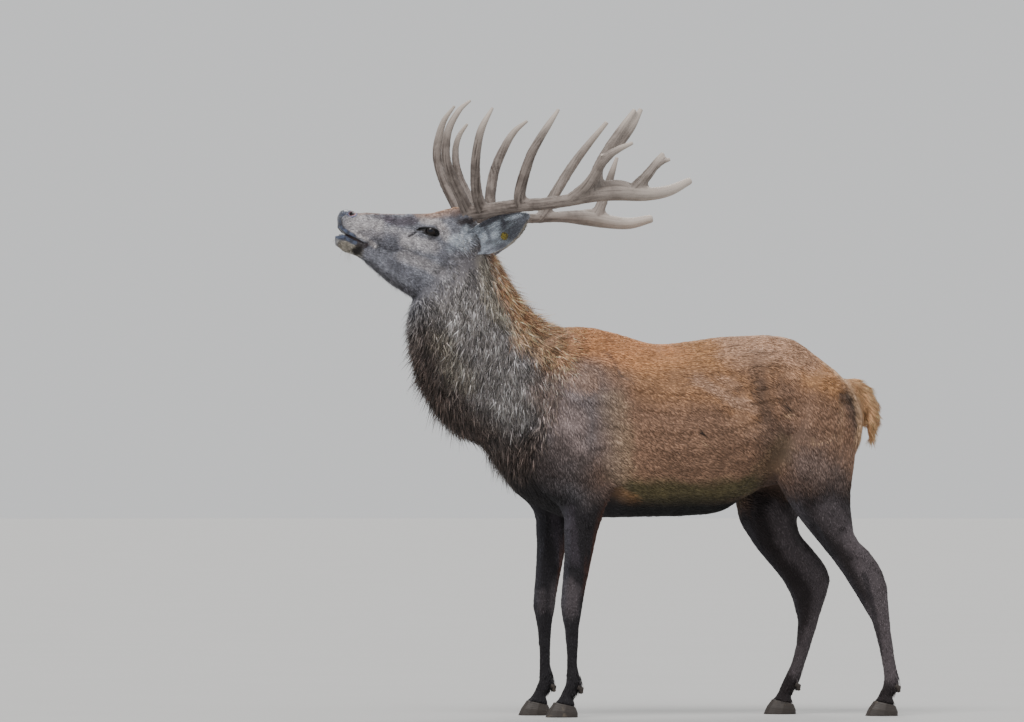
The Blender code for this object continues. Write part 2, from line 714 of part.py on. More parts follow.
def hoof(foot, claw):
    """One claw of a foot, flat on the ground, its wall sloping from the coronet to the toe."""
    front, back, y, half_width = FEET[foot]
    out = (1 if y > 0 else -1) * (1 if claw == "outer" else -1)
    slope = (front[1] - back[1]) / (front[0] - back[0])
    levels = [
        (0, HOOF_TOE, HOOF_HEEL, HOOF_SPLAY),
        (HOOF_WAIST, HOOF_TOE * HOOF_WAIST_TOE, HOOF_HEEL, HOOF_SPLAY),
        (1, 0, 0, 0),
    ]
    bm = bmesh.new()
    rings = []
    for height, toe, heel, splay in levels:
        near, far = front[0] - toe, back[0] + heel
        verts = []
        for i in range(HOOF_SIDES):
            turn = 2 * math.pi * i / HOOF_SIDES
            x = (near + far) / 2 - (far - near) / 2 * math.cos(turn)
            side = math.sin(turn)
            width = (half_width + splay) * (1 - HOOF_TAPER * max(0, math.cos(turn))) / 2
            reach = width * (1 + side) if side > 0 else width * (1 + side * HOOF_FLAT_SIDE)
            top = front[1] + slope * (x - front[0]) - GAP / CM
            verts.append(bm.verts.new(Vector((x, y + out * (HOOF_CLEFT + reach), height * top)) * CM))
        rings.append(verts)
    bm.faces.new(rings[0])
    bm.faces.new(rings[-1])
    for low, high in zip(rings, rings[1:]):
        for i in range(HOOF_SIDES):
            bm.faces.new((low[i - 1], low[i], high[i], high[i - 1]))
    bmesh.ops.triangulate(bm, faces=[face for face in bm.faces if len(face.verts) == 4])
    return object_from(bm, f"hoof_{foot}_{claw}", "horn")


def dewclaw(foot, claw, leg):
    """A small blunt horn behind the pastern."""
    y = FEET[foot][2]
    out = (1 if y > 0 else -1) * (1 if claw == "outer" else -1)
    heel = PASTERN_BACK[foot]
    rows = [(heel + x, y + out * DEWCLAW_APART, z, radius) for x, z, radius in DEWCLAW]
    thing = stem_body(f"dewclaw_{foot}_{claw}", rows, 1, steps=1, sides=7)
    thing.data.materials.append(material("horn"))
    return parted_from(thing, leg)


def flesh():
    """The body as one skin, out to the tips of the coat."""
    parts = [
        upright_body("trunk", TRUNK),
        profile_body("neck", NECK),
        profile_body("skull", SKULL),
        profile_body("jaw", JAW),
        leg_body("foreleg", FORELEG, LEFT),
        leg_body("foreleg", FORELEG, RIGHT, RIGHT_FORELEG_AHEAD),
        leg_body("hindleg", LEFT_HINDLEG, LEFT),
        leg_body("hindleg", RIGHT_HINDLEG, RIGHT),
    ]
    for name, ((x, y, z), radii) in MASSES.items():
        parts += [ball(name, (x, side * y, z), radii) for side in (LEFT, RIGHT)]
    return one_skin(parts, "flesh", FLESH_GRAIN, FLESH_SMOOTHING, FLESH_TRIANGLES, "hide")


def flesh_nodes(whole):
    """Parts the body: the legs from the trunk, the neck, the head and the jaw."""
    cutters = [slab(*HEAD_CUT), slab(*NECK_CUT), prism(MOUTH, 8)]
    places = {"trunk": (30, 0, 90), "neck": (-35, 0, 115), "head": (-60, 0, 148)}
    for leg, cuts in LEG_CUTS.items():
        side = LEFT if leg.endswith("left") else RIGHT
        for part, ((x, y, z), normal, half_sizes) in zip(("upper", "lower"), cuts):
            cutters.append(slab((x, side * y, z), normal, half_sizes))
            places[f"{leg}_{part}"] = (x, side * y, z - 12)
    for front, back, y, half_width in FEET.values():
        slope = Vector((back[0] - front[0], 0, back[1] - front[1]))
        down = Vector((slope.z, 0, -slope.x)).normalized()
        centre = Vector(((front[0] + back[0]) / 2, y, (front[1] + back[1]) / 2)) + down * 4
        cutters.append(slab(centre, down, (half_width + 2, 6), 8 * CM))
    x, y, z = EYE_PLACE
    for side in (LEFT, RIGHT):
        cutters.append(ball("socket", (x, side * y, z), [EYE_RADIUS + GAP / CM] * 3, detail=2))
    name_nearest(loose_bodies(cut(whole, cutters)), places)
    head = bpy.data.objects["head"]
    name_nearest(loose_bodies(cut(head, [slab(*JAW_CUT)])), {"head": (-60, 0, 148), "jaw": (-65, 0, 138)})
    for name, thing in bpy.data.objects.items():
        if name in ("head", "jaw"):
            thing.data.materials[0] = material("face")
        elif "leg" in name:
            thing.data.materials[0] = material("leg")


def stand_at_origin():
    """Moves everything so that the origin is under the middle of the whole, on the ground."""
    corners = [Vector(corner) for thing in bpy.data.objects for corner in thing.bound_box]
    low = Vector([min(corner[i] for corner in corners) for i in range(3)])
    high = Vector([max(corner[i] for corner in corners) for i in range(3)])
    move = Vector((-(low.x + high.x) / 2, -(low.y + high.y) / 2, -low.z))
    for thing in bpy.data.objects:
        thing.data.transform(Matrix.Translation(move))
    print(f"moved by {move.x:.5f}, {move.y:.5f}, {move.z:.5f}; size {(high - low)}")


def main():
    clear_scene()
    whole = flesh()
    for side, stems in ((LEFT, LEFT_ANTLER), (RIGHT, RIGHT_ANTLER)):
        antler(side, stems, whole)
        ear_body = ear(side, whole)
        if side == LEFT:
            ear_tag(ear_body)
        x, y, z = EYE_PLACE
        ball(f"eye_{SIDE_NAMES[side]}", (x, side * y, z), [EYE_RADIUS] * 3, detail=2, finish="eye")
    tail = profile_body("tail", TAIL, steps=1, sides=12)
    tail.data.materials.append(material("hide"))
    parted_from(tail, whole)
    flesh_nodes(whole)
    for foot in FEET:
        end, side = foot.split("_")
        for claw in ("inner", "outer"):
            hoof(foot, claw)
            dewclaw(foot, claw, bpy.data.objects[f"{end}leg_{side}_lower"])
    stand_at_origin()


main()
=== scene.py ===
import math
import bmesh
import bpy
import numpy as np
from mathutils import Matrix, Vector
from mathutils.bvhtree import BVHTree


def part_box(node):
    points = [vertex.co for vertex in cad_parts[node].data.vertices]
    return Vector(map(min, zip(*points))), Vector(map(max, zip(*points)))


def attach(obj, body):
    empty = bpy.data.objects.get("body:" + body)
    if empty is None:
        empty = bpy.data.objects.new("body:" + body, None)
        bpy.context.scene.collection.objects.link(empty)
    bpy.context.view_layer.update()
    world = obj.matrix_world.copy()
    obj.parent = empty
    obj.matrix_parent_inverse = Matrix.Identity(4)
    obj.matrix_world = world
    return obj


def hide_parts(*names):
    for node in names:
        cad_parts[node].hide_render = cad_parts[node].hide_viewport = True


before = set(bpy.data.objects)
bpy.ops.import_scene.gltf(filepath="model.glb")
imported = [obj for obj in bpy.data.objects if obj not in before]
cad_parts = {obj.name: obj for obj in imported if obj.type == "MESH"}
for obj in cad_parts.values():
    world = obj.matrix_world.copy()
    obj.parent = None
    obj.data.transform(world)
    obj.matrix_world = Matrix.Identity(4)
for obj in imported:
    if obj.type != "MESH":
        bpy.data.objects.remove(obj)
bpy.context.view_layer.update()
print("the packed model is loaded")

# the stag looks along -X with its left side at -Y
# the tables are in centimetres: x from the elbow, y from the midline and z from the ground
cm = 0.01
elbowFromEye = 53.8
eyeLow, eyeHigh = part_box("eye_left")
headLow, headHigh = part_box("head")
elbow = (eyeLow.x + eyeHigh.x) / 2 + elbowFromEye * cm
midline = (headLow.y + headHigh.y) / 2
origin = np.array([elbow, midline, 0])
sides = {"left": -1, "right": 1}
rootBody = "root"


def at(x, y, z):
    return Vector((elbow + x * cm, midline + y * cm, z * cm))


def inTable(points):  # metres in the frame to the tables' centimetres
    return (points - origin) / cm


def inFrame(q):  # and back to metres
    return q * cm + origin


def smooth(low, high, values):
    t = np.clip((values - low) / (high - low), 0, 1)
    return t * t * (3 - 2 * t)


def unit(vectors):
    return vectors / np.maximum(np.linalg.norm(vectors, axis=-1, keepdims=True), 1e-9)


noiseTable = np.random.default_rng(7).random((32, 32, 32))


def softNoise(points, size, shift=0.0):  # -1 to 1, with lumps about as large as size
    scaled = points / size + shift
    base = np.floor(scaled).astype(int)
    part = scaled - base
    part = part * part * (3 - 2 * part)
    total = 0
    for i in (0, 1):
        for j in (0, 1):
            for k in (0, 1):
                corner = noiseTable[tuple(((base + (i, j, k)) % 32).T)]
                weight = np.ones(len(points))
                for axis, step in enumerate((i, j, k)):
                    weight = weight * (part[:, axis] if step else 1 - part[:, axis])
                total = total + corner * weight
    return total * 2 - 1


# camera, floor and light
cameraLook = {
    "target": (-0.3267, 0.0275, 1.096), "turn": -10, "distance": 30, "height": 0.84,
    "lens": 342, "sensor": 36, "farthest": 200,
}


def addCamera(look):
    turn = math.radians(look["turn"])
    x, y, _ = look["target"]
    far = look["distance"]
    place = Vector((x + far * math.sin(turn), y - far * math.cos(turn), look["height"]))
    bpy.ops.object.camera_add(location=place)
    camera = bpy.context.object
    camera.rotation_euler = (Vector(look["target"]) - place).to_track_quat("-Z", "Y").to_euler()
    camera.data.lens = look["lens"]
    camera.data.sensor_width = look["sensor"]
    camera.data.clip_end = look["farthest"]
    bpy.context.scene.camera = camera


lights = {
    "key": {"from": (-0.5, -0.78, 1.2), "spread": 30, "power": 2.75, "colour": (1, 0.975, 0.95)},
    "fill": {"from": (1, -0.9, 0.5), "spread": 80, "power": 0.5, "colour": (0.9, 0.95, 1)},
    "rim": {"from": (0.35, 1, 1.1), "spread": 40, "power": 1.6, "colour": (1, 0.97, 0.93)},
}
room = {"colour": (0.92, 0.93, 0.94), "strength": 0.82}
floorLook = {"facets": 96, "radius": 80}


def addLights():
    for name, look in lights.items():
        bpy.ops.object.light_add(type="SUN", location=Vector(look["from"]) * 5)
        light = bpy.context.object
        light.name = name
        light.rotation_euler = Vector(look["from"]).to_track_quat("Z", "Y").to_euler()
        light.data.angle = math.radians(look["spread"])
        light.data.energy = look["power"]
        light.data.color = look["colour"]
    world = bpy.data.worlds.new("room")
    world.use_nodes = True
    background = world.node_tree.nodes["Background"]
    background.inputs["Color"].default_value = (*room["colour"], 1)
    background.inputs["Strength"].default_value = room["strength"]
    bpy.context.scene.world = world


def addFloor(look):
    bpy.ops.mesh.primitive_circle_add(vertices=look["facets"], radius=look["radius"], fill_type="NGON")
    floor = bpy.context.object
    floor.name = "floor"
    return floor


addCamera(cameraLook)
addLights()
floor = addFloor(floorLook)
print("camera, floor and light stand")


class Value:  # a socket that arithmetic works on
    def __init__(self, paint, socket):
        self.paint, self.socket = paint, socket

    def _math(self, operation, *terms):
        return self.paint.add("ShaderNodeMath", {"operation": operation}, dict(enumerate(terms)))

    def __add__(self, other):
        return self._math("ADD", self, other)

    def __sub__(self, other):
        return self._math("SUBTRACT", self, other)

    def __rsub__(self, other):
        return self._math("SUBTRACT", other, self)

    def __mul__(self, other):
        return self._math("MULTIPLY", self, other)

    def __pow__(self, other):
        return self._math("POWER", self, other)

    __radd__ = __add__
    __rmul__ = __mul__


class Paint:  # one material and its nodes
    def __init__(self, name, **constants):
        self.material = bpy.data.materials.new(name)
        self.material.use_nodes = True
        self.tree = self.material.node_tree
        self.shader = self.tree.nodes["Principled BSDF"]
        for socket, value in constants.items():
            self.shader.inputs[socket.replace("_", " ")].default_value = value

    def feed(self, socket, value):
        if isinstance(value, Value):
            self.tree.links.new(value.socket, socket)
        elif value is not None:
            if socket.type == "RGBA" and len(value) == 3:
                value = (*value, 1)
            socket.default_value = value

    def add(self, kind, settings=(), inputs=(), output=0):
        node = self.tree.nodes.new(kind)
        for name, value in dict(settings).items():
            if name == "stops":
                while len(node.color_ramp.elements) < len(value):
                    node.color_ramp.elements.new(1)
                for element, (place, colour) in zip(node.color_ramp.elements, value):
                    element.position = place
                    element.color = (*colour, 1) if len(colour) == 3 else colour
            else:
                setattr(node, name, value)
        for name, value in dict(inputs).items():
            self.feed(node.inputs[name], value)
        return Value(self, node.outputs[output])

    def place(self):
        return self.add("ShaderNodeTexCoord", output="Object")

    def attribute(self, name, output="Fac"):
        return self.add("ShaderNodeAttribute", {"attribute_name": name}, output=output)

    def noise(self, scale, detail=3, rough=0.55, where=None):
        sockets = {"Vector": where or self.place(), "Scale": scale, "Detail": detail, "Roughness": rough}
        return self.add("ShaderNodeTexNoise", (), sockets, "Fac")

    def stretch(self, sizes):
        return self.add("ShaderNodeVectorMath", {"operation": "MULTIPLY"}, {0: self.place(), 1: sizes})

    def step(self, value, low, high, start=0.0, end=1.0):
        sockets = {"Value": value, 1: low, 2: high, 3: start, 4: end}
        return self.add("ShaderNodeMapRange", {"interpolation_type": "SMOOTHSTEP"}, sockets)

    def mix(self, factor, first, second, blend="MIX"):
        settings = {"data_type": "RGBA", "blend_type": blend}
        return self.add("ShaderNodeMix", settings, {0: factor, 6: first, 7: second}, output=2)

    def bump(self, height, distance, strength):
        return self.add("ShaderNodeBump", (), {"Height": height, "Distance": distance, "Strength": strength})

    def wear(self, **sockets):  # joins what varies over the surface to the shader
        for name, value in sockets.items():
            self.feed(self.shader.inputs[name.replace("_", " ")], value)
        return self.material


def linear(red, green, blue):  # a colour as it is read on a chart, 0 to 255
    return tuple((c / 255) ** 2.2 for c in (red, green, blue))


def give(piece, material):
    piece.data.materials.clear()
    piece.data.materials.append(material)


def floorPaint():
    paint = Paint("pale floor", Roughness=0.85)
    grain = paint.noise(1.5, 4)
    return paint.wear(Base_Color=paint.mix(grain, linear(165, 165, 164), linear(170, 170, 169)))


give(floor, floorPaint())


def pickOnly(piece):
    bpy.ops.object.select_all(action="DESELECT")
    piece.select_set(True)
    bpy.context.view_layer.objects.active = piece


def editWhole(piece, operator, **settings):  # one edit mode operator on the whole of a mesh
    pickOnly(piece)
    bpy.ops.object.mode_set(mode="EDIT")
    bpy.ops.mesh.select_all(action="SELECT")
    operator(**settings)
    bpy.ops.object.mode_set(mode="OBJECT")


def copyNodes(names, name):  # the CAD nodes' shapes as one new mesh
    bpy.ops.object.select_all(action="DESELECT")
    for node in names:
        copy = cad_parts[node].copy()
        copy.data = copy.data.copy()
        copy.parent = None
        for key in list(copy.keys()):
            del copy[key]
        bpy.context.scene.collection.objects.link(copy)
        copy.select_set(True)
        bpy.context.view_layer.objects.active = copy
    if len(names) > 1:
        bpy.ops.object.join()
    piece = bpy.context.object
    piece.name = name
    editWhole(piece, bpy.ops.mesh.remove_doubles, threshold=0.00001)
    return piece


def applied(piece, kind, **settings):
    pickOnly(piece)
    modifier = piece.modifiers.new(kind.lower(), kind)
    for name, value in settings.items():
        setattr(modifier, name, value)
    bpy.ops.object.modifier_apply(modifier=modifier.name)


def valuesOf(items, field, width=3, kind=np.float32):  # a row of numbers for each vertex, edge or face
    flat = np.empty(len(items) * width, kind)
    items.foreach_get(field, flat)
    return flat.reshape(-1, width)


def pointsOf(mesh):
    return valuesOf(mesh.vertices, "co").astype(float)


def normalsOf(mesh):
    return valuesOf(mesh.vertices, "normal").astype(float)


def setPoints(mesh, points):
    mesh.vertices.foreach_set("co", points.astype(np.float32).ravel())
    mesh.update()


def store(mesh, name, values, kind="FLOAT"):  # values at the points, as an attribute that a material reads
    layer = mesh.attributes.get(name) or mesh.attributes.new(name, kind, "POINT")
    field = "color" if "COLOR" in kind else "value"
    if field == "color" and values.shape[1] == 3:
        values = np.column_stack([values, np.ones(len(values))])
    layer.data.foreach_set(field, values.astype(np.float32).ravel())


def treeOf(mesh):  # for the nearest place on a mesh
    return BVHTree.FromPolygons([v.co for v in mesh.vertices], [tuple(f.vertices) for f in mesh.polygons])


def relax(mesh, steps, hold=None):  # evens the surface: each pull inwards is followed by one outwards
    pulls = (0.5, -0.53)
    points = pointsOf(mesh)
    edges = valuesOf(mesh.edges, "vertices", 2, np.int32)
    one, two = edges.T
    count = np.maximum(np.bincount(edges.ravel(), minlength=len(points)), 1)[:, None]
    share = 1.0 if hold is None else hold[:, None]
    for step in range(steps * 2):
        around = [
            np.bincount(one, column[two], len(points)) + np.bincount(two, column[one], len(points))
            for column in points.T
        ]
        points = points + pulls[step % 2] * share * (np.column_stack(around) / count - points)
    setPoints(mesh, points)


def largestPart(piece):  # drops the small bubbles that a remesh leaves
    shape = bmesh.new()
    shape.from_mesh(piece.data)
    shape.verts.ensure_lookup_table()
    seen, parts = set(), []
    for vert in shape.verts:
        if vert.index in seen:
            continue
        part, stack = [], [vert]
        seen.add(vert.index)
        while stack:
            here = stack.pop()
            part.append(here)
            for edge in here.link_edges:
                there = edge.other_vert(here)
                if there.index not in seen:
                    seen.add(there.index)
                    stack.append(there)
        parts.append(part)
    parts.sort(key=len)
    bmesh.ops.delete(shape, geom=[vert for part in parts[:-1] for vert in part], context="VERTS")
    shape.to_mesh(piece.data)
    shape.free()


def subdivideWhere(piece, test):  # test takes the face centres in centimetres
    mesh = piece.data
    chosen = test(inTable(valuesOf(mesh.polygons, "center").astype(float)))
    pickOnly(piece)
    bpy.ops.object.mode_set(mode="EDIT")
    bpy.ops.mesh.select_mode(type="FACE")
    bpy.ops.mesh.select_all(action="DESELECT")
    bpy.ops.object.mode_set(mode="OBJECT")
    mesh.polygons.foreach_set("select", chosen)
    bpy.ops.object.mode_set(mode="EDIT")
    bpy.ops.mesh.subdivide(number_cuts=1, smoothness=0)
    bpy.ops.object.mode_set(mode="OBJECT")


def smoothShade(piece):
    piece.data.polygons.foreach_set("use_smooth", np.ones(len(piece.data.polygons), bool))


def meshPiece(name, points, faces):
    mesh = bpy.data.meshes.new(name)
    mesh.from_pydata([tuple(p) for p in points], [], faces)
    piece = bpy.data.objects.new(name, mesh)
    bpy.context.scene.collection.objects.link(piece)
    return piece


def eased(rows, spacing):  # a smooth run through the rows of a table
    rows = np.array(rows, float)
    ends = np.vstack([2 * rows[0] - rows[1], rows, 2 * rows[-1] - rows[-2]])
    run = []
    for a, b, c, d in zip(ends[:-3], ends[1:-2], ends[2:-1], ends[3:]):
        slope, square, cube = c - a, 2 * a - 5 * b + 4 * c - d, 3 * b - a - 3 * c + d
        count = max(2, int(np.linalg.norm((c - b)[:3]) / spacing))
        for t in np.arange(count) / count:
            run.append(0.5 * (2 * b + slope * t + square * t * t + cube * t**3))
    return np.vstack([run, rows[-1:]])


def rounded(run):  # closes a stem's tip with a dome
    rings = (0.5, 1.0, 1.4)  # angles from the dome's foot
    way = unit(run[-1, :3] - run[-2, :3])
    radius = run[-1, 3]
    caps = [(*(run[-1, :3] + way * radius * math.sin(a)), radius * math.cos(a)) for a in rings]
    return np.vstack([run, caps])


def tube(run, name, facets=5):  # a round bar along rows of x, y, z and radius, in centimetres
    bpy.ops.curve.primitive_nurbs_path_add()
    path = bpy.context.object
    path.name = name
    path.data.splines.clear()
    spline = path.data.splines.new("POLY")
    spline.points.add(len(run) - 1)
    for point, (x, y, z, radius) in zip(spline.points, run):
        point.co = (*at(x, y, z), 1)
        point.radius = radius
    path.data.bevel_depth = cm
    path.data.bevel_resolution = facets
    path.data.use_fill_caps = True
    pickOnly(path)
    path.location = (0, 0, 0)
    bpy.ops.object.convert(target="MESH")
    return bpy.context.object


def roundBar(rows, sign, spacing, name):  # a domed bar through a table's rows, on one side of the head
    return tube(rounded(eased([(x, y * sign, z, radius) for x, y, z, radius in rows], spacing)), name)


def joined(pieces, name):
    bpy.ops.object.select_all(action="DESELECT")
    for piece in pieces:
        piece.select_set(True)
    bpy.context.view_layer.objects.active = pieces[0]
    if len(pieces) > 1:
        bpy.ops.object.join()
    pieces[0].name = name
    return pieces[0]


def ballPiece(centre, radii, name):
    bpy.ops.mesh.primitive_uv_sphere_add(segments=32, ring_count=20, radius=cm, location=at(*centre))
    ball = bpy.context.object
    ball.name = name
    ball.scale = radii
    bpy.ops.object.transform_apply(location=True, rotation=True, scale=True)
    return ball


# where each part of the body is, from 0 to 1, for points in centimetres
planes = {  # a point x, z on the plane, and the way x, z that it faces
    "throat": ((-45, 140.5), (-0.805, 0.593)),
    "shoulder": ((-20, 97), (-0.911, 0.414)),
}


def past(plane, q):  # how far a point is in front of one of the planes
    (x, z), (wayX, wayZ) = planes[plane]
    return wayX * (q[:, 0] - x) + wayZ * (q[:, 2] - z)


def headPart(q):
    return smooth(-4, 6, past("throat", q))


def neckPart(q):
    return smooth(-7, 9, past("shoulder", q)) * (1 - headPart(q))


def legPart(q):
    fore = smooth(70, 58, q[:, 2]) * smooth(9, 5, q[:, 0])
    hind = smooth(72, 60, q[:, 2]) * smooth(43, 47, q[:, 0])
    return np.maximum(fore, hind)


def tailPart(q):
    return smooth(76, 79, q[:, 0]) * smooth(84, 86, q[:, 2]) * smooth(6.5, 4.5, np.abs(q[:, 1]))


earAxes = {  # from the root to the tip
    "left": ((-42, -5.4, 145.2), (-25, -14.2, 154.2)),
    "right": ((-42, 5.6, 143.4), (-25.6, 16.8, 147.6)),
}
earTrees = {side: treeOf(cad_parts[f"ear_{side}"].data) for side in sides}


def besideEar(q, side):  # the share of the ear's length that a point is along it
    root, tip = (np.array(p) for p in earAxes[side])
    axis = tip - root
    return root, axis, (q - root) @ axis / (axis @ axis)


def earPart(q):  # by the distance to the ear's own surface
    part = np.zeros(len(q))
    points = inFrame(q)
    for side, tree in earTrees.items():
        root, axis, along = besideEar(q, side)
        off = np.linalg.norm(q - root - along[:, None] * axis, axis=1)
        for i in np.flatnonzero((along > -0.2) & (along < 1.3) & (off < 8)):
            apart = tree.find_nearest(points[i])[3]
            part[i] = max(part[i], 1.4 - apart / cm)
    return part.clip(0, 1)


def earPlace(q, side):  # along the ear and across it, upward, in centimetres
    root, tip = (np.array(p, float) for p in earAxes[side])
    axis = unit(tip - root)
    across = unit(np.cross(axis, [-0.25, sides[side], -0.05]))
    across *= np.sign(across[2])
    return np.column_stack([(q - root) @ axis * 0.905, np.zeros(len(q)), (q - root) @ across])


zones = {"neck": neckPart, "head": headPart, "leg": legPart, "tail": tailPart}
coatDepth = {"trunk": 0.6, "neck": 1.5, "head": 0.28, "leg": 0.3, "tail": 0.6}


def depthOf(q):  # how far under the CAD's surface the skin lies
    depth = np.full(len(q), coatDepth["trunk"])
    for part, amountOf in zones.items():
        depth += (coatDepth[part] - depth) * amountOf(q)
    depth *= smooth(-81, -76, q[:, 0])  # the nose is bare
    depth -= (depth + 0.25) * smooth(6, 4, q[:, 2])  # the skin comes out over the hooves' tops
    return depth * cm


def lineGap(q, line):  # how far a point of the side view is from a line of points x, z
    flat, line = q[:, ::2], np.array(line, float)
    gap = np.full(len(q), 1e3)
    for start, end in zip(line[:-1], line[1:]):
        run = end - start
        t = np.clip((flat - start) @ run / (run @ run), 0, 1)
        gap = np.minimum(gap, np.linalg.norm(flat - start - t[:, None] * run, axis=1))
    return gap


def closed(outline):
    return np.vstack([outline, outline[:1]])


def strokeAmount(q, line, width, rough=1.0):  # how much of a brush stroke's paint a point gets
    gap = lineGap(q, line) + softNoise(q, width * 0.8, 4) * width * 0.3 * rough
    return smooth(width * 1.45, width * 0.45, gap)


# the skin: the flesh with lips, pedicles, ears and eyelids, sunk to its depth under the coat
fleshKinds = ("head", "jaw", "neck", "trunk", "tail", "foreleg", "hindleg")
fleshNodes = [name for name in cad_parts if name.split("_")[0] in fleshKinds]
skin = {
    "grain": 0.0066, "swell": 0.0012, "bodyFaces": 14000, "earGrain": 0.0032,
    "lipSpacing": 0.4, "pedicleSpacing": 0.5,  # between the rows along these bars
    "relax": 11, "relaxHead": 16, "relaxEar": 9, "relaxEnd": 4,
    "fineFront": -74.5, "fineEye": 3.3,  # the nose and the eyes get smaller faces
}
lips = {
    "upper": [
        (-73.2, 3.1, 146.2, 0.5), (-76, 3.2, 147.6, 0.6), (-78.5, 2.9, 148.5, 0.68), (-80.5, 2, 149.7, 0.72),
        (-81.5, 0.8, 150.8, 0.72),
    ],
    "lower": [
        (-74, 2.7, 145, 0.5), (-77, 2.5, 146.2, 0.55), (-79.8, 2.2, 147.4, 0.55), (-81.8, 1.5, 147.9, 0.5),
        (-82.7, 0.5, 147.9, 0.5),
    ],
}
nosePad = ((-80.3, 0, 153), (1.9, 2.9, 2.7))
pedicle = [(-44.6, 3.6, 151, 2.6), (-43, 4.6, 153.2, 2.7), (-41.2, 6, 154.7, 2.5)]
eye = {
    "at": (-53.8, 6.2, 149.35), "radius": 1.9, "cover": 0.22,  # the ball, and the lids' thickness over it
    "front": (-57.9, 150.15), "back": (-51.5, 148.35),  # the corners of the opening
    "top": 1.42, "bottom": 1.14, "bow": (0.75, 0.45, 2.02), "points": 80,  # its height and its shape
    "reach": 1.7, "socket": 6.5, "least": 2.5,  # how far the lids reach, and where the skin can be theirs
}
mouthGap = [
    (-73.2, 145.4), (-78, 147.8), (-80.2, 148.8), (-81.7, 150.3), (-84.5, 151.6), (-85.5, 147.9),
    (-82.9, 148.4), (-81.5, 148.8), (-79.7, 148), (-76.8, 146.5),
]
mouthHalf = 6
nostril = {
    "at": (-77.7, 2.5, 154.85), "long": 1.4, "high": 0.85, "wide": 2.2, "slope": 0.15, "deep": 1.3,
    "wingAt": 1.35, "wingWide": 0.35, "wing": 0.14, "back": -73,
}
furrow = {"wide": 0.3, "deep": 0.24, "front": (-80.2, -81.2), "bottom": (149.4, 150.4), "top": (155, 153.8)}
tearSlit = {
    "line": [(-57.6, 150.2), (-58.6, 149.1), (-59.7, 148.2), (-60.6, 147.9)],
    "wide": 0.33, "deep": 0.45, "least": 3,
}


# muscle, bone and hollow under the hide: points (x, z), width, height
forms = [
    ([(-7, 92), (-6, 80), (-3, 72)], 2.6, -0.7), ([(-17, 112), (-14, 98), (-13, 88)], 3.2, 0.6),
    ([(-12, 86), (-8, 76)], 4.5, 0.6), ([(-26, 104), (-25, 90)], 3.0, -0.5),
    ([(46, 104), (48, 92), (50, 80)], 3.4, -0.9), ([(48, 111), (52, 109)], 3.2, 0.8),
    ([(66, 100), (66, 84), (63, 72)], 5, 0.7), ([(74, 96), (73, 80)], 2.2, -0.5),
    ([(20, 104), (34, 102)], 3, -0.4), ([(36, 78), (46, 72)], 3, -0.5), ([(-1, 103), (8, 92)], 3.5, -0.35),
    ([(-12.5, 58), (-11.8, 47)], 1.2, 0.35), ([(-6.5, 58), (-6.8, 46)], 0.9, -0.3),
    ([(78, 46), (73, 57)], 1.1, -0.5), ([(68.5, 49), (64, 58)], 1.2, -0.45),
    ([(-10.6, 32), (-10.6, 18)], 0.5, -0.18), ([(86.3, 28), (88.2, 16)], 0.5, -0.18),
    ([(67, 28), (64.4, 16)], 0.5, -0.18), ([(-60, 144.8), (-66, 146.6), (-70, 147.8)], 1.1, 0.22),
    ([(-58, 141), (-66, 143.2)], 1.2, -0.22), ([(-47, 139), (-50, 134)], 1.6, 0.3),
    ([(-64, 152.6), (-58, 152)], 1.1, -0.2), ([(-51, 152.8), (-55.5, 152.6)], 1.0, 0.28),
    ([(-56, 133), (-51, 130.5)], 2.4, -0.25),
]


def boolean(piece, cutter, operation):
    applied(piece, "BOOLEAN", operation=operation, object=cutter, solver="MANIFOLD")
    bpy.data.objects.remove(cutter)


def prismPiece(name, outline, halfWidth):
    count = len(outline)
    points = [at(x, side * halfWidth, z) for side in (-1, 1) for x, z in outline]
    faces = [list(range(count)), list(range(2 * count - 1, count - 1, -1))]
    faces += [[i, i + count, (i + 1) % count + count, (i + 1) % count] for i in range(count)]
    piece = meshPiece(name, points, faces)
    editWhole(piece, bpy.ops.mesh.normals_make_consistent, inside=False)
    return piece


def makeEar(side):
    ear = copyNodes([f"ear_{side}"], f"ear_{side}_copy")
    applied(ear, "REMESH", mode="VOXEL", voxel_size=skin["earGrain"])
    relax(ear.data, skin["relaxEar"])
    return ear


def nearEye(q, reach):
    x, y, z = eye["at"]
    return (q[:, 0] - x) ** 2 + (np.abs(q[:, 1]) - y) ** 2 + (q[:, 2] - z) ** 2 < reach**2


def socketPoints(q):  # the numbers of the points round the eyes
    return np.flatnonzero(nearEye(q, eye["socket"]) & (np.abs(q[:, 1]) > eye["least"]))


def blockSkin():  # the flesh with its lips and pedicles as one even mesh
    piece = copyNodes(fleshNodes, "skin")
    applied(piece, "DISPLACE", strength=skin["swell"], mid_level=0)
    extras = [ballPiece(*nosePad, "nose_pad")]
    for rows in lips.values():
        for sign in sides.values():
            extras.append(roundBar(rows, sign, skin["lipSpacing"], "lip"))
    for sign in sides.values():
        extras.append(roundBar(pedicle, sign, skin["pedicleSpacing"], "pedicle"))
    piece = joined([piece, *extras], "skin")
    applied(piece, "REMESH", mode="VOXEL", voxel_size=skin["grain"])
    largestPart(piece)
    return piece


